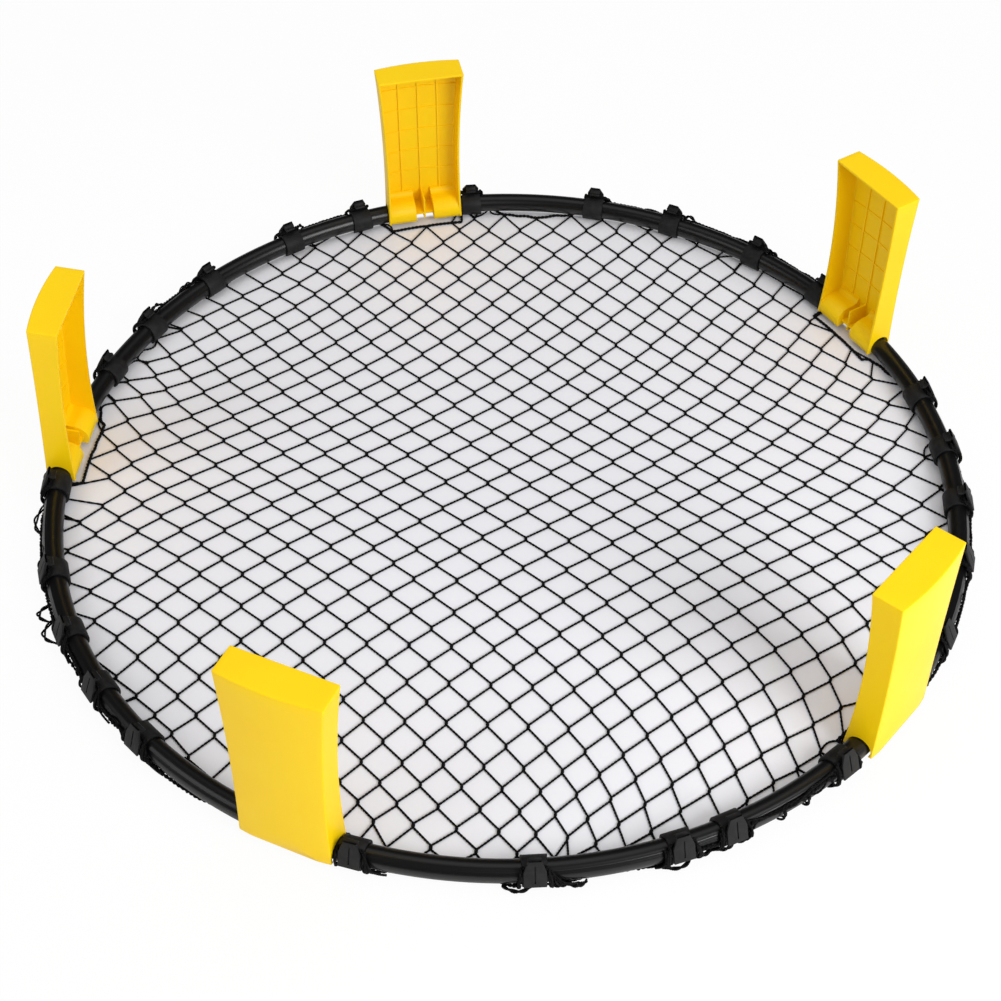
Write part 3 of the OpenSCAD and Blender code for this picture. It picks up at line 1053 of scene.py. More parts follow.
@dataclass
class Hook:
    """A split collar on the tube with a tongue that curls over and holds the net's edge."""

    width: float = 20 * MM
    flare: float = 3 * MM
    inner_r: float = 10.25 * MM
    collar_t: float = 2.75 * MM
    mouth: Tuple[float, float] = (-150.0, -80.0)
    tongue_w: float = 19 * MM
    curl_w: float = 11 * MM
    tongue_t: float = 2.1 * MM
    tongue_in: float = 13.2 * MM
    foot: float = -5 * MM
    shoulder: float = 10.5 * MM
    top: float = 22 * MM
    curl_r: float = 5.3 * MM
    curl_turn: float = 140.0
    curl_steps: int = 14
    groove_w: float = 1.2 * MM
    groove_d: float = 1.1 * MM
    groove_foot: float = -1 * MM
    groove_h: float = 18 * MM
    root_in: float = 7.15 * MM
    root_foot: float = -4 * MM
    root_h: float = 15.5 * MM
    saddle_r: float = 7.2 * MM
    saddle: Tuple[float, float] = (9.6 * MM, 16.9 * MM)
    soft: float = 0.45 * MM

    def collar(self) -> bpy.types.Object:
        """Models the split collar, a little longer on the side away from the tongue.

        Returns:
            The collar.
        """
        Bench.clear()
        outer = self.inner_r + self.collar_t
        bpy.ops.mesh.primitive_cylinder_add(vertices=72, radius=outer,
                                            depth=self.width + 2 * self.flare,
                                            end_fill_type="NOTHING",
                                            rotation=(0, math.pi / 2, 0))
        piece = Bench.settle(bpy.context.object)
        with Bench.editing(piece) as mesh:
            for face in mesh.faces:
                middle = face.calc_center_median()
                turn = math.degrees(math.atan2(middle.z, middle.y))
                face.select = self.mouth[0] < turn < self.mouth[1]
            mesh.select_flush_mode()
            bmesh.update_edit_mesh(piece.data)
            bpy.ops.mesh.delete(type="FACE")
        Bench.tidy(piece)
        self.wall(piece)
        for end in (-1, 1):
            with Bench.editing(piece, whole=True):
                bpy.ops.mesh.bisect(plane_co=(end * (self.width / 2 + self.flare / 4), 0, 0),
                                    plane_no=(end, self.flare / 4 / outer, 0),
                                    use_fill=True, clear_outer=True)
        Bench.round_edges(piece, self.soft)
        return piece

    def wall(self, piece: bpy.types.Object) -> None:
        """Gives the open collar its wall, inwards.

        Args:
            piece: The collar.
        """
        Bench.modify(piece, "SOLIDIFY", thickness=self.collar_t, offset=-1.0)
        points = mesh_points(piece)
        reach = np.hypot(points[:, 1], points[:, 2])
        if reach.max() > self.inner_r + 1.5 * self.collar_t:
            log.warning("collar wall grew outwards")

    def tongue(self) -> bpy.types.Object:
        """Models the tongue: shoulders drawn in to a curl, with a groove down its middle.

        Returns:
            The tongue.
        """
        out = self.tongue_in + self.tongue_t
        piece = Bench.box((-self.tongue_w / 2, self.tongue_in, self.foot),
                          (self.tongue_w / 2, out, self.shoulder))
        with Bench.editing(piece) as mesh:
            for face in mesh.faces:
                face.select = face.calc_center_median().z > self.shoulder - 0.01 * MM
            mesh.select_flush_mode()
            bmesh.update_edit_mesh(piece.data)
            bpy.ops.mesh.extrude_region_move(
                TRANSFORM_OT_translate={"value": (0, 0, self.top - self.shoulder)})
            bpy.ops.transform.resize(value=(self.curl_w / self.tongue_w, 1, 1),
                                     center_override=(0, 0, self.top))
            bpy.ops.mesh.spin(steps=self.curl_steps, angle=math.radians(self.curl_turn),
                              center=(0, out - self.curl_r, self.top), axis=(1, 0, 0))
        Bench.tidy(piece)
        Bench.round_edges(piece, self.soft, 2, 25.0)
        groove = Bench.box((-self.groove_w / 2, out - self.groove_d, self.groove_foot),
                           (self.groove_w / 2, out + MM, self.groove_foot + self.groove_h))
        Bench.combine(piece, groove, "DIFFERENCE")
        return piece

    def root(self) -> bpy.types.Object:
        """Models the block that joins tongue and collar, hollowed under the curl.

        Returns:
            The block.
        """
        half = self.tongue_w / 2 - self.soft
        piece = Bench.box((-half, self.root_in, self.root_foot),
                          (half, self.tongue_in + self.tongue_t / 2, self.root_foot + self.root_h))
        hollow = Bench.rod(self.saddle_r, self.width, (0, *self.saddle), 72)
        Bench.combine(piece, hollow, "DIFFERENCE")
        return piece

    def model(self) -> bpy.types.Object:
        """Models the whole hook on the tube's axis, with +Y outwards.

        Returns:
            The hook.
        """
        piece = self.collar()
        Bench.combine(piece, self.root(), "UNION")
        Bench.combine(piece, self.tongue(), "UNION")
        bore = Bench.rod(self.inner_r, self.width + 2 * self.flare, (0, 0, 0), 72)
        Bench.combine(piece, bore, "DIFFERENCE")
        Bench.tidy(piece)
        Bench.smooth(piece)
        return piece

    def build(self, material: bpy.types.Material) -> List[bpy.types.Object]:
        """Models the hook once and clips a copy at each of its places.

        Args:
            material: The hooks' finish.

        Returns:
            All the hooks.
        """
        master = self.model()
        hooks = []
        for index, row in enumerate(HOOK_AT, 1):
            for number, share in enumerate(row, 1):
                move = onto_rim(hook_azimuth(index, share), RIM_R,
                                HOOK_ROLL[index - 1][number - 1])
                piece = Bench.twin(master, f"net_hook_{index}_{number}", move)
                Bench.dress(piece, material, Slot.HOOK, "rim", [f"hook_{index}_{number}"])
                hooks.append(piece)
        bpy.data.objects.remove(master)
        return hooks


# ---- Net ----

class Sweep:
    """Gathers swept cords and small lumps into one mesh with a UV map."""

    def __init__(self) -> None:
        """Starts an empty mesh."""
        self.points: List[np.ndarray] = []
        self.faces: List[np.ndarray] = []
        self.maps: List[np.ndarray] = []
        self.count = 0

    def cord(self, path: np.ndarray, radius: Union[float, np.ndarray], sides: int = 4,
             twist: float = 45.0, start: float = 0.0) -> None:
        """Adds a cord along a path, its section turned a little at each point.

        Args:
            path: Points along its middle, one row each.
            radius: Its radius, or one for each point.
            sides: Number of sides.
            twist: Turn of the section from one point to the next.
            start: Distance along the yarn where it begins, for the material.
        """
        n = len(path)
        radius = np.broadcast_to(np.asarray(radius, float), (n,))
        ahead = unit_rows(np.gradient(path, axis=0))
        side = np.cross(ahead, (0.0, 0.0, 1.0))
        flat = np.linalg.norm(side, axis=1, keepdims=True) < 0.15
        side = unit_rows(np.where(flat, np.cross(ahead, (1.0, 0.3, 0.0)), side))
        for k in range(1, n):
            if side[k] @ side[k - 1] < 0:
                side[k] = -side[k]
        over = np.cross(side, ahead)
        turns = (np.arange(sides) / sides * 2 * math.pi)[None, :] \
            + np.radians(twist) * np.arange(n)[:, None]
        ring = (path[:, None, :] + radius[:, None, None]
                * (np.cos(turns)[..., None] * side[:, None, :]
                   + np.sin(turns)[..., None] * over[:, None, :]))
        base = self.count
        self.points.append(ring.reshape(-1, 3))
        self.count += n * sides
        i = np.arange(n - 1)[:, None]
        j = np.arange(sides)[None, :]
        a = base + i * sides + j
        b = base + i * sides + (j + 1) % sides
        quads = np.stack([a, b, b + sides, a + sides], -1).reshape(-1, 4)
        self.faces.append(quads)
        reach = run_along(path) + start
        v0 = np.broadcast_to(j / sides, (n - 1, sides))
        u0 = np.broadcast_to(reach[:-1, None], (n - 1, sides))
        u1 = np.broadcast_to(reach[1:, None], (n - 1, sides))
        corner = np.stack([np.stack([u0, v0], -1), np.stack([u0, v0 + 1 / sides], -1),
                           np.stack([u1, v0 + 1 / sides], -1), np.stack([u1, v0], -1)], -2)
        self.maps.append(corner.reshape(-1, 2))
        self.cap(base, sides, flip=False)
        self.cap(base + (n - 1) * sides, sides, flip=True)

    def cap(self, first: int, sides: int, flip: bool) -> None:
        """Closes one end of a cord whose section has four or more sides, in quads.

        Args:
            first: Number of the end ring's first point.
            sides: Number of sides.
            flip: Whether the end faces the other way.
        """
        around = list(range(first, first + sides))
        if not flip:
            around.reverse()
        for k in range(1, sides - 2, 2):
            self.faces.append(np.array([[around[0], around[k], around[k + 1], around[k + 2]]]))
            self.maps.append(np.zeros((4, 2)))

    def lump(self, centre: np.ndarray, along: np.ndarray, size: Point, shape: np.ndarray,
             faces: np.ndarray) -> None:
        """Adds a knot.

        Args:
            centre: Its middle.
            along: Level direction of its long axis.
            size: Its half lengths along, across and up.
            shape: Points of the plain knot.
            faces: Its four-sided faces.
        """
        across = np.array([-along[1], along[0], 0.0])
        axes = np.stack([along * size[0], across * size[1], np.array([0, 0, 1.0]) * size[2]])
        self.points.append(centre + shape @ axes)
        self.faces.append(faces + self.count)
        self.maps.append(np.tile([[0, 0], [0.002, 0], [0.002, 0.3], [0, 0.3]], (len(faces), 1)))
        self.count += len(shape)

    def make(self, name: str) -> bpy.types.Object:
        """Makes the mesh object.

        Args:
            name: Its name.

        Returns:
            The object.
        """
        mesh = bpy.data.meshes.new(name)
        points = np.concatenate(self.points)
        faces = np.concatenate(self.faces)
        mesh.from_pydata(points.tolist(), [], faces.tolist())
        layer = mesh.uv_layers.new(name="along")
        layer.data.foreach_set("uv", np.concatenate(self.maps).astype(np.float32).ravel())
        mesh.polygons.foreach_set("use_smooth", np.ones(len(mesh.polygons), bool))
        mesh.update()
        piece = bpy.data.objects.new(name, mesh)
        bpy.context.scene.collection.objects.link(piece)
        return piece


@dataclass
class NetLayout:
    """Where the net's knots lie in plan: even rows that spread over the floor and pull
    towards the hooks at the rim.

    For each hook, in millimetres at the tube: how far it pulls the meshes on both sides of it
    together, shifts them along the rim, and draws them outwards.

    Rows and columns count the knots along the two ways that the cords run. The spread gives
    the place of a knot in metres from the powers of its (row + column) and (row - column).
    """

    spread: Dict[Tuple[int, int], Tuple[float, float]] = field(default_factory=lambda: {
        (0, 0): (7.7, 13.5), (0, 1): (116.5, 422.7), (0, 2): (-22.0, 39.9),
        (0, 3): (0.0, 130.9), (0, 4): (0.0, -36.9), (0, 5): (0.0, -87.6),
        (1, 0): (406.6, -112.9), (1, 1): (-37.6, 21.9), (1, 2): (-171.6, 72.3),
        (1, 3): (107.2, -24.7), (1, 4): (134.1, -56.6), (2, 0): (-4.6, -9.8),
        (2, 1): (-30.8, -16.6), (2, 2): (0.0, -20.4), (2, 3): (134.1, 0.0),
        (3, 0): (12.0, 0.0), (3, 1): (0.0, 12.6), (3, 2): (-84.5, 0.0), (4, 1): (0.0, 35.6),
    })
    row_scale: float = 20.0
    column_scale: float = 24.0
    half_count: int = 26
    side: float = 28.4 * MM
    even_r: float = 400 * MM
    calm_r: float = 330 * MM
    gather_over: float = 100 * MM
    gather_w: float = 60 * MM
    held_r: float = 425 * MM
    pulls: Tuple[Tuple[float, ...], ...] = (
        (-3.0, -7.0, 12.0, 2.0, 21.0),
        (-9.0, -1.0, 3.0, -2.0, 10.0),
        (10.0, 3.0, -8.0, -5.0, 9.0),
        (-9.0, 2.0, -2.0, -4.0, 6.0),
        (6.0, -4.0, 0.0, 3.0, 8.0),
    )
    shifts: Tuple[Tuple[float, ...], ...] = (
        (7.0, 9.0, 11.0, -4.0, -13.0),
        (5.0, -1.0, -5.0, -4.0, -9.0),
        (-6.0, 7.0, -4.0, 2.0, -12.0),
        (-4.0, 0.0, -1.0, 5.0, 2.0),
        (0.0, -4.0, 7.0, -2.0, -6.0),
    )
    draws: Tuple[Tuple[float, ...], ...] = (
        (3.0, -1.0, 19.0, -6.0, 1.0),
        (-13.0, 9.0, -7.0, 4.0, -1.0),
        (-8.0, -4.0, -4.0, 3.0, 5.0),
        (-18.0, -2.0, 0.0, 3.0, -2.0),
        (4.0, 1.0, -4.0, 6.0, 4.0),
    )
    hook_reach: float = 24 * MM
    end_rise: float = 4 * MM
    leg_half: float = 43.6 * MM
    leg_flank: float = 3.4 * MM
    leg_level: float = -20 * MM
    over_edge: float = 11 * MM
    least_step: float = 0.004
    least_slack: float = 0.01
    edge_hold: float = 0.4
    rounds: int = 1500
    seed: int = 4

    def place(self, u: np.ndarray, v: np.ndarray) -> np.ndarray:
        """Returns the plan position of the point at ``u``, ``v``.

        Args:
            u: Scaled sum of row and column.
            v: Scaled difference of row and column.

        Returns:
            The plan position in metres.
        """
        out = np.zeros(u.shape + (2,))
        for (a, b), (x, y) in self.spread.items():
            out += (u ** a * v ** b)[..., None] * np.array([x, y])
        return out * MM

    def lay(self) -> None:
        """Works out knots, strands and the border's course."""
        self.hook_turn = np.radians([hook_azimuth(i, share) for i, row in enumerate(HOOK_AT, 1)
                                     for share in row])
        self.lay_rows()
        self.cut_border()
        self.pull_tight()

    def lay_rows(self) -> None:
        """Lays the even rows, and carries them on in straight lines near the rim."""
        n = self.half_count
        rows, columns = np.meshgrid(np.arange(-n, n + 1), np.arange(-n, n + 1), indexing="ij")
        u = (rows + columns) / self.row_scale
        v = (rows - columns) / self.column_scale
        far = np.maximum(np.hypot(u, v), 1e-9)
        du, dv = u / far, v / far
        low, high = np.full_like(u, 0.5), np.full_like(u, 1.25)
        for _ in range(30):
            middle = (low + high) / 2
            big = np.linalg.norm(self.place(du * middle, dv * middle), axis=-1) > self.even_r
            low, high = np.where(big, low, middle), np.where(big, middle, high)
        back = 0.02
        edge = self.place(du * low, dv * low)
        slope = (edge - self.place(du * (low - back), dv * (low - back))) / back
        even = far <= low
        points = np.where(even[..., None], self.place(u, v), edge + slope * (far - low)[..., None])
        points = self.gather(points)
        even = np.linalg.norm(points, axis=-1) < self.held_r
        turn = np.arctan2(points[..., 1], points[..., 0])
        keep = np.linalg.norm(points, axis=-1) < RIM_R + self.edge_level(turn) + self.over_edge
        number = -np.ones(rows.shape, int)
        number[keep] = np.arange(keep.sum())
        self.points = points[keep]
        self.held = even[keep]
        strands = []
        for di, dj in ((1, 0), (0, 1)):
            a = number[:number.shape[0] - di, :number.shape[1] - dj]
            b = number[di:, dj:]
            both = (a >= 0) & (b >= 0)
            strands.append(np.stack([a[both], b[both], np.full(both.sum(), dj)], 1))
        self.strands = np.concatenate(strands)

    def edge_level(self, turn: np.ndarray) -> np.ndarray:
        """Returns how far past the tube's axis the net's edge lies at azimuths in radians.

        Args:
            turn: The azimuths.

        Returns:
            The levels.
        """
        hooks = self.hook_turn
        gaps = np.append(np.diff(hooks), hooks[0] + 2 * math.pi - hooks[-1])
        past = (turn - hooks[0]) % (2 * math.pi)
        k = np.clip(np.searchsorted(hooks - hooks[0], past, side="right") - 1, 0, len(hooks) - 1)
        share = (past - (hooks[k] - hooks[0])) / gaps[k]
        middle = np.array(EDGE_AT).ravel()[k] * MM
        ends = np.maximum(self.hook_reach, middle + self.end_rise)
        return self.under_legs(turn, middle + (ends - middle) * (2 * share - 1) ** 2)

    def under_legs(self, turn: np.ndarray, level: np.ndarray) -> np.ndarray:
        """Keeps the net's edge inside the rim where it passes a leg, clear of its rocking.

        Args:
            turn: Azimuths in radians.
            level: How far past the tube's axis the edge would lie at each.

        Returns:
            How far past the tube's axis it lies.
        """
        for index in range(1, LEG_COUNT + 1):
            at = math.radians(leg_azimuth(index))
            off = np.abs(turn_from(turn, at)) * RIM_R
            near = eased(np.clip((self.leg_half + self.leg_flank - off) / self.leg_flank, 0, 1))
            level = level + (np.minimum(level, self.leg_level) - level) * near
        return level

    def gather(self, points: np.ndarray) -> np.ndarray:
        """Pulls the meshes near the rim together or apart round each hook.

        Args:
            points: Plan positions of the evenly laid knots.

        Returns:
            Their new plan positions.
        """
        far = np.maximum(np.linalg.norm(points, axis=-1), 1e-9)
        turn = np.arctan2(points[..., 1], points[..., 0])
        ramp = np.clip((far - self.calm_r) / self.gather_over, 0, 1.2) ** 2
        aside, out = np.zeros_like(far), np.zeros_like(far)
        for i, rows in enumerate(zip(HOOK_AT, self.pulls, self.shifts, self.draws), 1):
            for share, pull, shift, draw in zip(*rows):
                at = math.radians(hook_azimuth(i, share))
                along = turn_from(turn, at) * RIM_R / self.gather_w
                near = np.exp(-along ** 2 / 2)
                aside += (shift - pull * along) * near
                out += draw * near
        unit = points / far[..., None]
        across = np.stack([-unit[..., 1], unit[..., 0]], -1)
        return points + (across * aside[..., None] + unit * out[..., None]) \
            * ramp[..., None] * MM

    def cut_border(self) -> None:
        """Drops stray knots and orders the border's knots and the hooks round the rim."""
        n = len(self.points)
        keep = np.ones(n, bool)
        while True:
            live = keep[self.strands[:, 0]] & keep[self.strands[:, 1]]
            degree = np.bincount(self.strands[live, :2].ravel(), minlength=n)
            stray = keep & (degree < 2)
            if not stray.any():
                break
            keep[stray] = False
        number = -np.ones(n, int)
        number[keep] = np.arange(keep.sum())
        live = keep[self.strands[:, 0]] & keep[self.strands[:, 1]]
        self.strands = np.concatenate([number[self.strands[live, :2]], self.strands[live, 2:]], 1)
        self.knots = self.points[keep]
        self.held = self.held[keep]
        self.knot_count = len(self.knots)
        degree = np.bincount(self.strands[:, :2].ravel(), minlength=self.knot_count)
        border = np.where(degree < 4)[0]
        reach = RIM_R + self.hook_reach
        hooks = on_circle(self.hook_turn, reach)
        everything = np.concatenate([self.knots, hooks])
        chain = np.concatenate([border, self.knot_count + np.arange(len(hooks))])
        turn = np.arctan2(everything[chain, 1], everything[chain, 0])
        self.chain = chain[np.argsort(turn)]
        self.everything = everything
        self.fixed = np.concatenate([self.held, np.ones(len(hooks), bool)])

    def border_lengths(self) -> np.ndarray:
        """Shares out the border cord's length between each two hooks.

        Returns:
            The length from each item of the chain to the next.
        """
        chain, points = self.chain, self.everything
        count = len(chain)
        ahead = np.roll(chain, -1)
        turn = np.arctan2(points[:, 1], points[:, 0])
        step = np.abs(turn_from(turn[ahead], turn[chain])) + self.least_step
        rest = np.zeros(count)
        at_hook = [k for k, item in enumerate(chain) if item >= self.knot_count]
        for a, b in zip(at_hook, at_hook[1:] + [at_hook[0] + count]):
            between = [k % count for k in range(a, b)]
            hook = chain[a % count]
            chord = np.linalg.norm(points[hook] - points[chain[b % count]])
            row, place = divmod(int(hook) - self.knot_count, len(EDGE_AT[0]))
            sag = self.hook_reach - EDGE_AT[row][place] * MM
            slack = self.least_slack + (sag / chord) ** 2 / BOW
            rest[between] = chord * (1 + slack) * step[between] / step[between].sum()
        return rest

    def pull_tight(self) -> None:
        """Lets the knots near the rim find their places between the even rows and the hooks."""
        rng = np.random.default_rng(self.seed)
        ahead = np.roll(self.chain, -1)
        springs = (
            (self.strands[:, 0], self.strands[:, 1], np.full(len(self.strands), self.side), 0.05),
            (self.chain, ahead, self.border_lengths(), 0.0),
        )
        free = np.where(self.fixed, 0.0, 1.0)
        edge = self.chain[self.chain < self.knot_count]
        points = self.everything.copy()
        points += rng.normal(0, 1.0 * MM, points.shape) * free[:, None]
        for _ in range(self.rounds):
            move = np.zeros_like(points)
            weight = np.zeros(len(points))
            for a, b, rest, push in springs:
                gap = points[b] - points[a]
                length = np.linalg.norm(gap, axis=1) + 1e-9
                extra = length - rest
                give = np.where(extra > 0, 1.0, np.where(extra < -0.35 * rest, 4 * push, push))
                both = np.maximum(free[a] + free[b], 1e-9)
                shift = (give * extra / length / both)[:, None] * gap
                np.add.at(move, a, shift * free[a][:, None])
                np.add.at(move, b, -shift * free[b][:, None])
                np.add.at(weight, a, give * (free[a] > 0))
                np.add.at(weight, b, give * (free[b] > 0))
            points += move / np.maximum(weight, 1.0)[:, None]
            aim = RIM_R + self.edge_level(np.arctan2(points[edge, 1], points[edge, 0]))
            far = np.linalg.norm(points[edge], axis=1)
            points[edge] *= (1 + self.edge_hold * (aim / far - 1))[:, None]
        self.everything = points
        self.knots = points[:self.knot_count]


@dataclass
class Net:
    """The knotted net, its threaded border cord and the loops over the hooks' tongues."""

    layout: NetLayout = field(default_factory=NetLayout)
    cord_r: float = 1.1 * MM
    lift: float = 1.1 * MM
    rings: int = 14
    knot_size: Point = (2.4 * MM, 1.75 * MM, 1.45 * MM)
    offset: float = 1.25 * MM
    border_r: float = 1.35 * MM
    wrap_gap: float = 1.5 * MM
    before: float = 3 * MM
    channel: float = 49.6
    channel_r: float = 15.2 * MM
    tongue_half: float = 10.6 * MM
    flank: float = 4.0 * MM
    dive: float = 2.6 * MM
    leg_room: float = 11.7 * MM
    side_aim: Tuple[float, float] = (9, 26)
    side_wide: Tuple[float, float] = (1.2, 4.0)
    side_lift: Tuple[float, float] = (1.6, 3.4)
    crowded_share: float = 0.06
    crowded_aim: float = 0.3
    lift_over: float = 20 * MM
    loose_sides: int = 5
    off_floor: float = 1.3
    bow_share: float = 0.8
    fine_step: float = 0.04
    calm_width: int = 41
    wave_counts: Tuple[int, ...] = (37, 61, 97, 151)
    wave_h: float = 0.6
    border_step: float = 1.1 * MM
    drape_gap: float = 1.6 * MM
    seed: int = 11

    def knot_shape(self) -> Tuple[np.ndarray, np.ndarray]:
        """Models a tight knot once: a ball drawn out and creased by its turns.

        Returns:
            Its points, within one unit of its middle, and its four-sided faces.
        """
        Bench.clear()
        bpy.ops.mesh.primitive_cube_add(size=1.0)
        piece = bpy.context.object
        with Bench.editing(piece, whole=True):
            bpy.ops.mesh.subdivide(number_cuts=2)
            bpy.ops.transform.tosphere(value=1.0)
        points = mesh_points(piece)
        points /= np.linalg.norm(points, axis=1, keepdims=True)
        crease = 1 - 0.16 * np.cos(3.2 * points[:, 0] + 1.4 * points[:, 2]) ** 2 \
            * (1 - points[:, 0] ** 2)
        faces = np.array([list(p.vertices) for p in piece.data.polygons])
        bpy.data.objects.remove(piece)
        return points * crease[:, None], faces

    def wrap(self, plan: np.ndarray, extra: Union[float, np.ndarray] = 0.0) -> np.ndarray:
        """Carries flat points to the floor, and those past the tube up round its outer side.

        Args:
            plan: Points in plan, one row each, laid out flat.
            extra: Added distance from the tube.

        Returns:
            The points in space.
        """
        far = np.linalg.norm(plan, axis=-1)
        unit = plan / np.maximum(far, 1e-9)[..., None]
        reach = TUBE_R + self.wrap_gap
        past = np.maximum(far - RIM_R - self.before, 0.0)
        turn = past / reach
        reach = reach + extra
        out = np.where(past > 0, RIM_R + self.before * np.exp(-turn * 2) + reach * np.sin(turn),
                       far)
        low = AXIS_Z - (AXIS_Z - self.lift) * np.cos(turn)
        high = AXIS_Z - reach * np.cos(turn)
        height = np.where(past > 0, np.where(turn < math.pi / 2, low, high), self.lift)
        return np.concatenate([unit * out[..., None], height[..., None]], -1)

    def strand_path(self, a: np.ndarray, b: np.ndarray, shift_a: np.ndarray,
                    shift_b: np.ndarray, bow: np.ndarray) -> np.ndarray:
        """Returns the course of one strand in space.

        Args:
            a: Plan position of its first knot.
            b: Plan position of its last knot.
            shift_a: Where it leaves the first knot, from its middle.
            shift_b: Where it enters the last knot.
            bow: Sideways bow at mid-length.

        Returns:
            Its points, one row each.
        """
        t = np.linspace(0, 1, self.rings + 1)[:, None]
        start, stop = a + shift_a, b + shift_b
        flat = start * (1 - t) + stop * t
        flat = flat + (shift_a * (1 - t) ** 3 + shift_b * t ** 3) * 0.5
        flat = flat + bow * np.sin(math.pi * t)
        return self.wrap(flat)

    def build(self, material: bpy.types.Material,
              border_material: bpy.types.Material) -> List[bpy.types.Object]:
        """Makes the net in five sectors, and its border in five stretches.

        Args:
            material: Finish of the net's cord.
            border_material: Finish of the border cord.

        Returns:
            All the pieces.
        """
        self.layout.lay()
        rng = np.random.default_rng(self.seed)
        layout = self.layout
        knots = layout.knots
        shape, faces = self.knot_shape()
        sweeps = [Sweep() for _ in range(LEG_COUNT)]
        axes = self.knot_axes()
        for a, b, way in layout.strands:
            pa, pb = knots[a], knots[b]
            gap = pb - pa
            length = np.linalg.norm(gap)
            sign = 1.0 if way == 0 else -1.0
            across = np.array([-gap[1], gap[0]]) / max(length, 1e-9)
            spare = 0.0 if layout.held[a] or layout.held[b] else max(layout.side - length, 0.0)
            bow = across * math.sqrt(BOW * spare * layout.side) * self.bow_share \
                * rng.choice((-1, 1))
            path = self.strand_path(pa, pb, sign * axes[a] * self.offset,
                                    -sign * axes[b] * self.offset, bow)
            if np.isnan(path).any():
                continue
            sector = self.sector((pa + pb) / 2)
            sweeps[sector].cord(path, self.cord_r, start=rng.uniform(0, 1))
        space = self.wrap(knots)
        for k in range(layout.knot_count):
            along = np.array([axes[k][0], axes[k][1], 0.0])
            size = np.array(self.knot_size) * rng.uniform(0.92, 1.1)
            sweeps[self.sector(knots[k])].lump(space[k], along, tuple(size), shape, faces)
        pieces = []
        for number, sweep in enumerate(sweeps, 1):
            piece = sweep.make(f"net_part_{number}")
            Bench.dress(piece, material, Slot.CORD, "rim", ["net"])
            pieces.append(piece)
        pieces += self.build_border(border_material, rng)
        return pieces

    def sector(self, plan: np.ndarray) -> int:
        """Returns which of the five sectors a plan position is in, counted from 0."""
        turn = math.degrees(math.atan2(plan[1], plan[0])) - FIRST_LEG
        return int((turn % 360) // SPAN)

    def knot_axes(self) -> np.ndarray:
        """Returns the level direction of each knot's long axis, across its two cords.

        Returns:
            The directions, one row each.
        """
        layout = self.layout
        ways = np.zeros((layout.knot_count, 2, 2))
        for a, b, way in layout.strands:
            gap = layout.knots[b] - layout.knots[a]
            gap = gap / max(np.linalg.norm(gap), 1e-9)
            ways[a, way] += gap
            ways[b, way] += gap
        axis = ways[:, 0] - ways[:, 1]
        length = np.linalg.norm(axis, axis=1, keepdims=True)
        return np.where(length > 1e-6, axis / np.maximum(length, 1e-9), [[0.0, 1.0]])

    def channel_reach(self, roll: float) -> float:
        """Returns how far round the tube a hook's curl holds the net, along the surface."""
        return self.before + (TUBE_R + self.wrap_gap) * math.radians(90 + self.channel + roll)

    def hooks(self) -> Iterator[Tuple[float, float]]:
        """Yields the azimuth in radians and the held reach of every hook in turn."""
        rolls = [roll for row in HOOK_ROLL for roll in row]
        for turn, roll in zip(self.layout.hook_turn, rolls):
            yield turn, self.channel_reach(roll)

    def past_hooks(self, fine: np.ndarray, course: np.ndarray) -> Tuple[np.ndarray, np.ndarray]:
        """Lifts the border's course through the curls of the hooks.

        Args:
            fine: Azimuths in radians.
            course: How far round the tube the border lies at each.

        Returns:
            The new course, and the added distance from the tube.
        """
        extra = np.zeros_like(fine)
        for turn, held in self.hooks():
            off = np.abs(turn_from(fine, turn)) * RIM_R
            rise = eased(np.clip((self.tongue_half + self.dive - off) / self.dive, 0, 1))
            course = course + (held - course) * rise
            near = np.clip((self.tongue_half + self.flank - off) / self.flank, 0, 1)
            extra += (self.channel_r - TUBE_R - self.wrap_gap) * near
        return course, extra

    def border_course(self, rng: np.random.Generator) -> Tuple[np.ndarray, np.ndarray]:
        """Works out the border cord's middle line.

        Args:
            rng: The source of its small waves.

        Returns:
            Its points at even steps, and the azimuth in radians of each.
        """
        layout = self.layout
        plan = layout.everything[layout.chain]
        turn = np.unwrap(np.arctan2(plan[:, 1], plan[:, 0]))
        far = np.linalg.norm(plan, axis=1) - RIM_R
        fine = np.radians(np.arange(0, 360, self.fine_step))
        course = np.interp(fine, np.concatenate([turn - 2 * math.pi, turn, turn + 2 * math.pi]),
                           np.tile(far, 3))
        width = self.calm_width
        kernel = np.hanning(width + 2)[1:-1]
        course = np.convolve(np.concatenate([course[-width:], course, course[:width]]),
                             kernel / kernel.sum(), "same")[width:-width]
        for count in self.wave_counts:
            course = course + np.sin(fine * count + rng.uniform(0, 6.28)) \
                * rng.uniform(0.3, 1) * self.wave_h * MM
        course, extra = self.past_hooks(fine, layout.under_legs(fine, course))
        path = self.wrap(on_circle(fine, RIM_R + course), extra)
        path[:, 2] = np.maximum(path[:, 2], self.off_floor * self.border_r)
        reach = run_along(path)
        even = np.arange(0, reach[-1], self.border_step)
        path = np.stack([np.interp(even, reach, path[:, k]) for k in range(3)], 1)
        return path, np.interp(even, reach, fine)

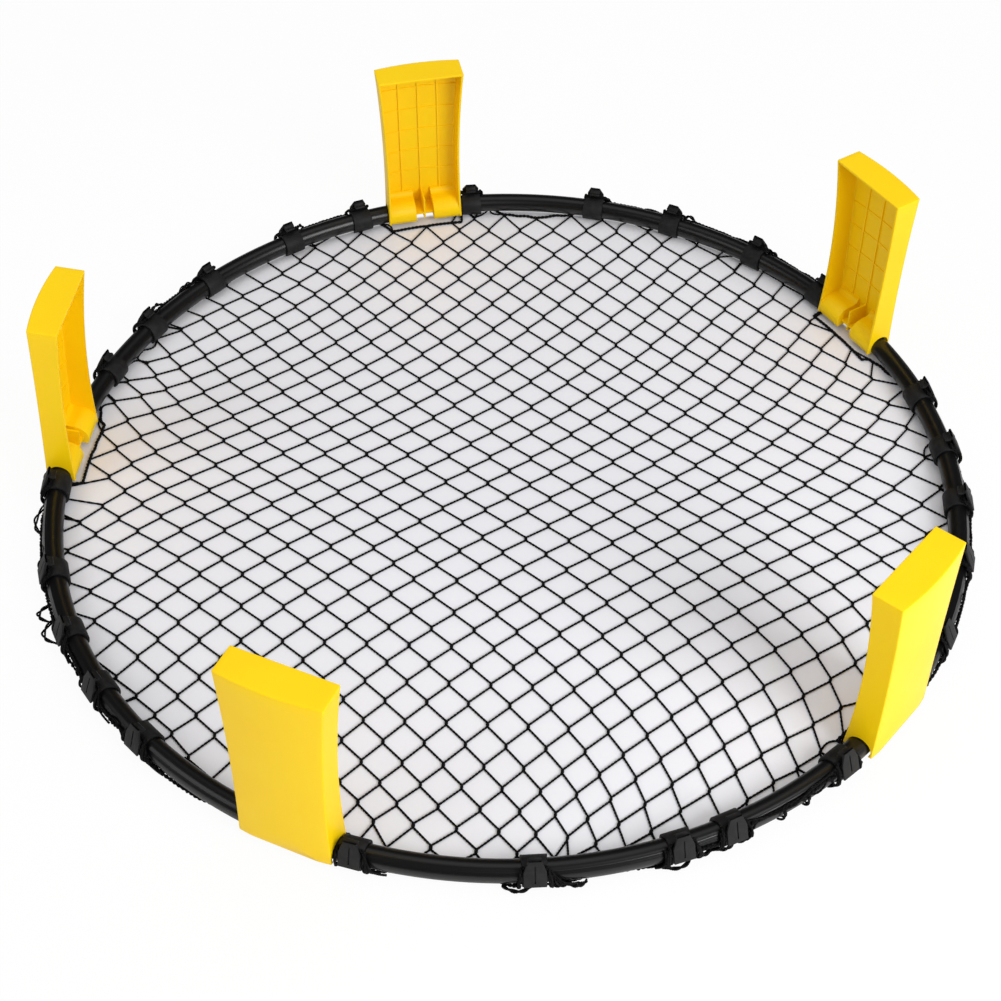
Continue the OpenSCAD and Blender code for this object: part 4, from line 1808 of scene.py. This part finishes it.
    def build_border(self, material: bpy.types.Material,
                     rng: np.random.Generator) -> List[bpy.types.Object]:
        """Makes the border cord, threaded through the outer meshes and the hooks' curls.

        Args:
            material: The border cord's finish.
            rng: The source of its small differences.

        Returns:
            Its five stretches.
        """
        sweeps = [Sweep() for _ in range(LEG_COUNT)]
        path, around = self.border_course(rng)
        for k in range(LEG_COUNT):
            ahead = (np.degrees(around) - leg_azimuth(k + 1)) % 360
            pick = np.where(ahead < SPAN + 0.3)[0]
            pick = pick[np.argsort(ahead[pick])]
            self.ply(sweeps[k], path[pick])
        self.side_loops(sweeps, rng)
        self.slack_parts(sweeps)
        pieces = []
        for number, sweep in enumerate(sweeps, 1):
            piece = sweep.make(f"net_border_{number}")
            Bench.dress(piece, material, Slot.CORD, "rim", [f"edge_cord_{number}"])
            pieces.append(piece)
        return pieces

    def side_loops(self, sweeps: List[Sweep], rng: np.random.Generator) -> None:
        """Adds the strands of the meshes slipped over each hook, down both sides of its tongue.

        Args:
            sweeps: One mesh in the making for each sector.
            rng: The source of their small differences.
        """
        knots = self.layout.knots
        turns = np.arctan2(knots[:, 1], knots[:, 0])
        far = np.linalg.norm(knots, axis=1) - RIM_R
        for number, (turn, held) in enumerate(self.hooks()):
            along = turn_from(turns, turn) * RIM_R
            share = HOOK_AT[number // 5][number % 5]
            for side in (-1, 1):
                crowded = (share if side < 0 else 1 - share) < self.crowded_share
                for _ in range(2):
                    aim = side * rng.uniform(*self.side_aim) * MM \
                        * (self.crowded_aim if crowded else 1.0)
                    cost = np.hypot(along - aim, (far + 10 * MM) * 1.3)
                    k = int(np.argmin(cost))
                    wide = self.tongue_half + rng.uniform(*self.side_wide) * MM
                    out = 1.0 * MM
                    if crowded:
                        wide, out = min(wide, self.leg_room), 0.0
                    stops = np.array([
                        [along[k], far[k]], [side * (wide + 1.5 * out), 10 * MM],
                        [side * (wide + 0.5 * out), 21 * MM], [side * wide, 28 * MM],
                        [side * (self.tongue_half - 1 * MM), held + rng.uniform(-2, 2) * MM],
                        [0.0, held + rng.uniform(-1, 1) * MM]])
                    self.loose(sweeps[number // 5], turn, stops,
                               rng.uniform(*self.side_lift) * MM)

    def loose(self, sweep: Sweep, turn: float, stops: np.ndarray, extra: float) -> None:
        """Adds one strand that runs smoothly past a few stops on the tube's surface.

        Args:
            sweep: The mesh in the making.
            turn: Azimuth in radians from which the stops are measured.
            stops: Distance along the tube and round it, one row each.
            extra: Added distance from the tube over its outer side.
        """
        steps = np.linspace(0, len(stops) - 1, 12 * len(stops))
        fine = np.stack([np.interp(steps, np.arange(len(stops)), stops[:, k])
                         for k in range(2)], 1)
        kernel = np.hanning(11)[1:-1]
        kernel /= kernel.sum()
        padded = np.concatenate([np.repeat(fine[:1], 4, 0), fine, np.repeat(fine[-1:], 4, 0)])
        fine = np.stack([np.convolve(padded[:, k], kernel, "valid") for k in range(2)], 1)
        angle = turn + fine[:, 0] / RIM_R
        flat = on_circle(angle, RIM_R + fine[:, 1])
        lifted = extra * np.clip(fine[:, 1] / self.lift_over, 0, 1)
        sweep.cord(self.wrap(flat, lifted), self.cord_r, sides=self.loose_sides)

    def slack(self, sweep: Sweep, turn: float, stops: Point, level: float, out: float) -> None:
        """Adds one loop of cord that stands out from the net's edge.

        Args:
            sweep: The mesh in the making.
            turn: Azimuth in radians from which the stops are measured.
            stops: Where along the tube it starts, peaks and ends.
            level: How far round the tube it lies.
            out: How far its peak stands out.
        """
        t = np.linspace(0, 1, 36)
        along = (1 - t) ** 2 * stops[0] + 2 * t * (1 - t) * stops[1] + t ** 2 * stops[2]
        bulge = np.sin(math.pi * t) ** 0.8
        for side in (-1, 1):
            lay = side * self.cord_r * np.sin(3 * math.pi * t)
            far = RIM_R + level * (0.75 + 0.25 * bulge) + lay
            flat = on_circle(turn + along / RIM_R, far)
            path = self.wrap(flat, out * bulge + side * self.cord_r * np.cos(3 * math.pi * t))
            path[:, 2] = np.maximum(path[:, 2], self.off_floor * self.cord_r)
            sweep.cord(path, self.cord_r, sides=self.loose_sides)

    def slack_parts(self, sweeps: List[Sweep]) -> None:
        """Adds the slack loops and the strands that slant down the tubes.

        Args:
            sweeps: One mesh in the making for each sector.
        """
        for tube, hook, start, peak, stop, level, out in LOOPS:
            turn = hook_radians(tube, hook)
            self.slack(sweeps[tube - 1], turn, (start * MM, peak * MM, stop * MM), level * MM,
                       out * MM)
        for tube, hook, high_x, high, low_x, low in DRAPES:
            turn = hook_radians(tube, hook)
            middle = (0.6 * high_x + 0.4 * low_x, 0.35 * high + 0.65 * low)
            stops = np.array([(high_x, high), middle, (low_x, low)]) * MM
            self.loose(sweeps[tube - 1], turn, stops, self.drape_gap)

    def ply(self, sweep: Sweep, path: np.ndarray, lay: float = 9 * MM) -> None:
        """Adds two yarns laid round each other along a path.

        Args:
            sweep: The mesh in the making.
            path: The cord's middle line.
            lay: Length of one turn of the yarns.
        """
        ahead = unit_rows(np.gradient(path, axis=0))
        plan = path * np.array([1, 1, 0])
        middle = plan / np.linalg.norm(plan, axis=1, keepdims=True) * RIM_R
        middle[:, 2] = AXIS_Z
        side = unit_rows(np.cross(path - middle, ahead))
        over = np.cross(side, ahead)
        reach = run_along(path)
        for phase in (0.0, math.pi):
            turn = reach / lay * 2 * math.pi + phase
            offset = np.cos(turn)[:, None] * side + np.sin(turn)[:, None] * over
            yarn = path + offset * self.border_r * 0.55
            yarn[:, 2] = np.maximum(yarn[:, 2], self.border_r * 0.75)
            sweep.cord(yarn, self.border_r * 0.75, sides=6, twist=12.0)


# ---- Studio ----

@dataclass
class Studio:
    """Floor, soft lamps, plain surroundings and the camera."""

    camera_at: Point = (-0.23736, -1.07375, 1.16975)
    target: Point = (-0.01007, -0.02353, 0.0)
    roll: float = -0.3841
    lens: float = 57.10
    sensor: float = 36.0
    sky: float = 0.58
    mirrored: float = 0.045
    key_power: float = 33.0
    fill_power: float = 6.0
    front_power: float = 3.0
    top_power: float = 8.0

    def build(self) -> None:
        """Sets up the whole studio."""
        self.floor()
        self.surroundings()
        self.lamp("key", -57.7, 32.0, 2.4, 1.1, self.key_power)
        self.lamp("fill", -169.0, 40.0, 2.4, 1.0, self.fill_power)
        self.lamp("front", -88.0, 40.0, 2.4, 1.4, self.front_power)
        self.lamp("top", 60.0, 78.0, 2.6, 1.8, self.top_power)
        self.camera()

    def floor(self) -> None:
        """Lays a large flat board under the set."""
        Bench.clear()
        bpy.ops.mesh.primitive_plane_add(size=14.0)
        piece = bpy.context.object
        with Bench.editing(piece, whole=True):
            bpy.ops.mesh.subdivide(number_cuts=3)
        piece.name = "studio_board"
        piece.data.materials.append(StudioFloor().material())

    def surroundings(self) -> None:
        """Makes the air plain white to the camera and softly grey for light."""
        world = bpy.data.worlds.new("studio_air")
        bpy.context.scene.world = world
        world.use_nodes = True
        tree = world.node_tree
        tree.nodes.clear()
        out = tree.nodes.new("ShaderNodeOutputWorld")
        seen = tree.nodes.new("ShaderNodeLightPath")
        layer = self.air(tree, self.sky)
        for rays, level in (("Is Glossy Ray", self.mirrored), ("Is Camera Ray", 1.0)):
            mix = tree.nodes.new("ShaderNodeMixShader")
            tree.links.new(seen.outputs[rays], mix.inputs[0])
            tree.links.new(layer, mix.inputs[1])
            tree.links.new(self.air(tree, level), mix.inputs[2])
            layer = mix.outputs[0]
        tree.links.new(layer, out.inputs["Surface"])

    def air(self, tree: bpy.types.NodeTree, level: float) -> bpy.types.NodeSocket:
        """Adds a plain white background of a given level.

        Args:
            tree: The world's node tree.
            level: Its strength.

        Returns:
            Its shader socket.
        """
        made = tree.nodes.new("ShaderNodeBackground")
        made.inputs["Color"].default_value = (1.0, 1.0, 1.0, 1.0)
        made.inputs["Strength"].default_value = level
        return made.outputs[0]

    def lamp(self, name: str, azimuth: float, height: float, distance: float, size: float,
             power: float) -> None:
        """Adds a square soft lamp that faces the set.

        Args:
            name: The lamp's name.
            azimuth: Direction it stands in.
            height: Its elevation.
            distance: Its distance from the set's middle.
            size: Side of its square.
            power: Its power in watts.
        """
        light = bpy.data.lights.new(name, "AREA")
        light.shape = "SQUARE"
        light.size = size
        light.energy = power
        lamp = bpy.data.objects.new(name, light)
        bpy.context.scene.collection.objects.link(lamp)
        a, e = math.radians(azimuth), math.radians(height)
        lamp.location = (distance * math.cos(e) * math.cos(a),
                         distance * math.cos(e) * math.sin(a), distance * math.sin(e))
        lamp.rotation_euler = (-lamp.location).to_track_quat("-Z", "Y").to_euler()

    def camera(self) -> None:
        """Stands the camera in front of the set, above it."""
        data = bpy.data.cameras.new("camera")
        data.sensor_width = self.sensor
        data.lens = self.lens
        camera = bpy.data.objects.new("camera", data)
        bpy.context.scene.collection.objects.link(camera)
        camera.location = self.camera_at
        aim = Vector(self.target) - Vector(self.camera_at)
        turn = aim.to_track_quat("-Z", "Y") @ Matrix.Rotation(
            math.radians(self.roll), 3, "Z").to_quaternion()
        camera.rotation_euler = turn.to_euler()
        bpy.context.scene.camera = camera


def main() -> None:
    """Builds every sub-assembly in order and the studio round them."""
    logging.basicConfig(level=logging.INFO, format="%(name)s: %(message)s")
    bpy.context.scene.view_settings.view_transform = "Standard"
    studio = Studio()
    studio.build()
    tube_finish = DrawnTube().material()
    for index in range(1, LEG_COUNT + 1):
        RimTube(index).build(tube_finish)
    Leg().build(GlossyMoulding().material())
    Hook().build(DullNylon().material())
    Net().build(TwistedCord("net_cord").material(),
                TwistedCord("border_cord", plies=2.0, lay=0.005).material())


if __name__ == "__main__":
    main()
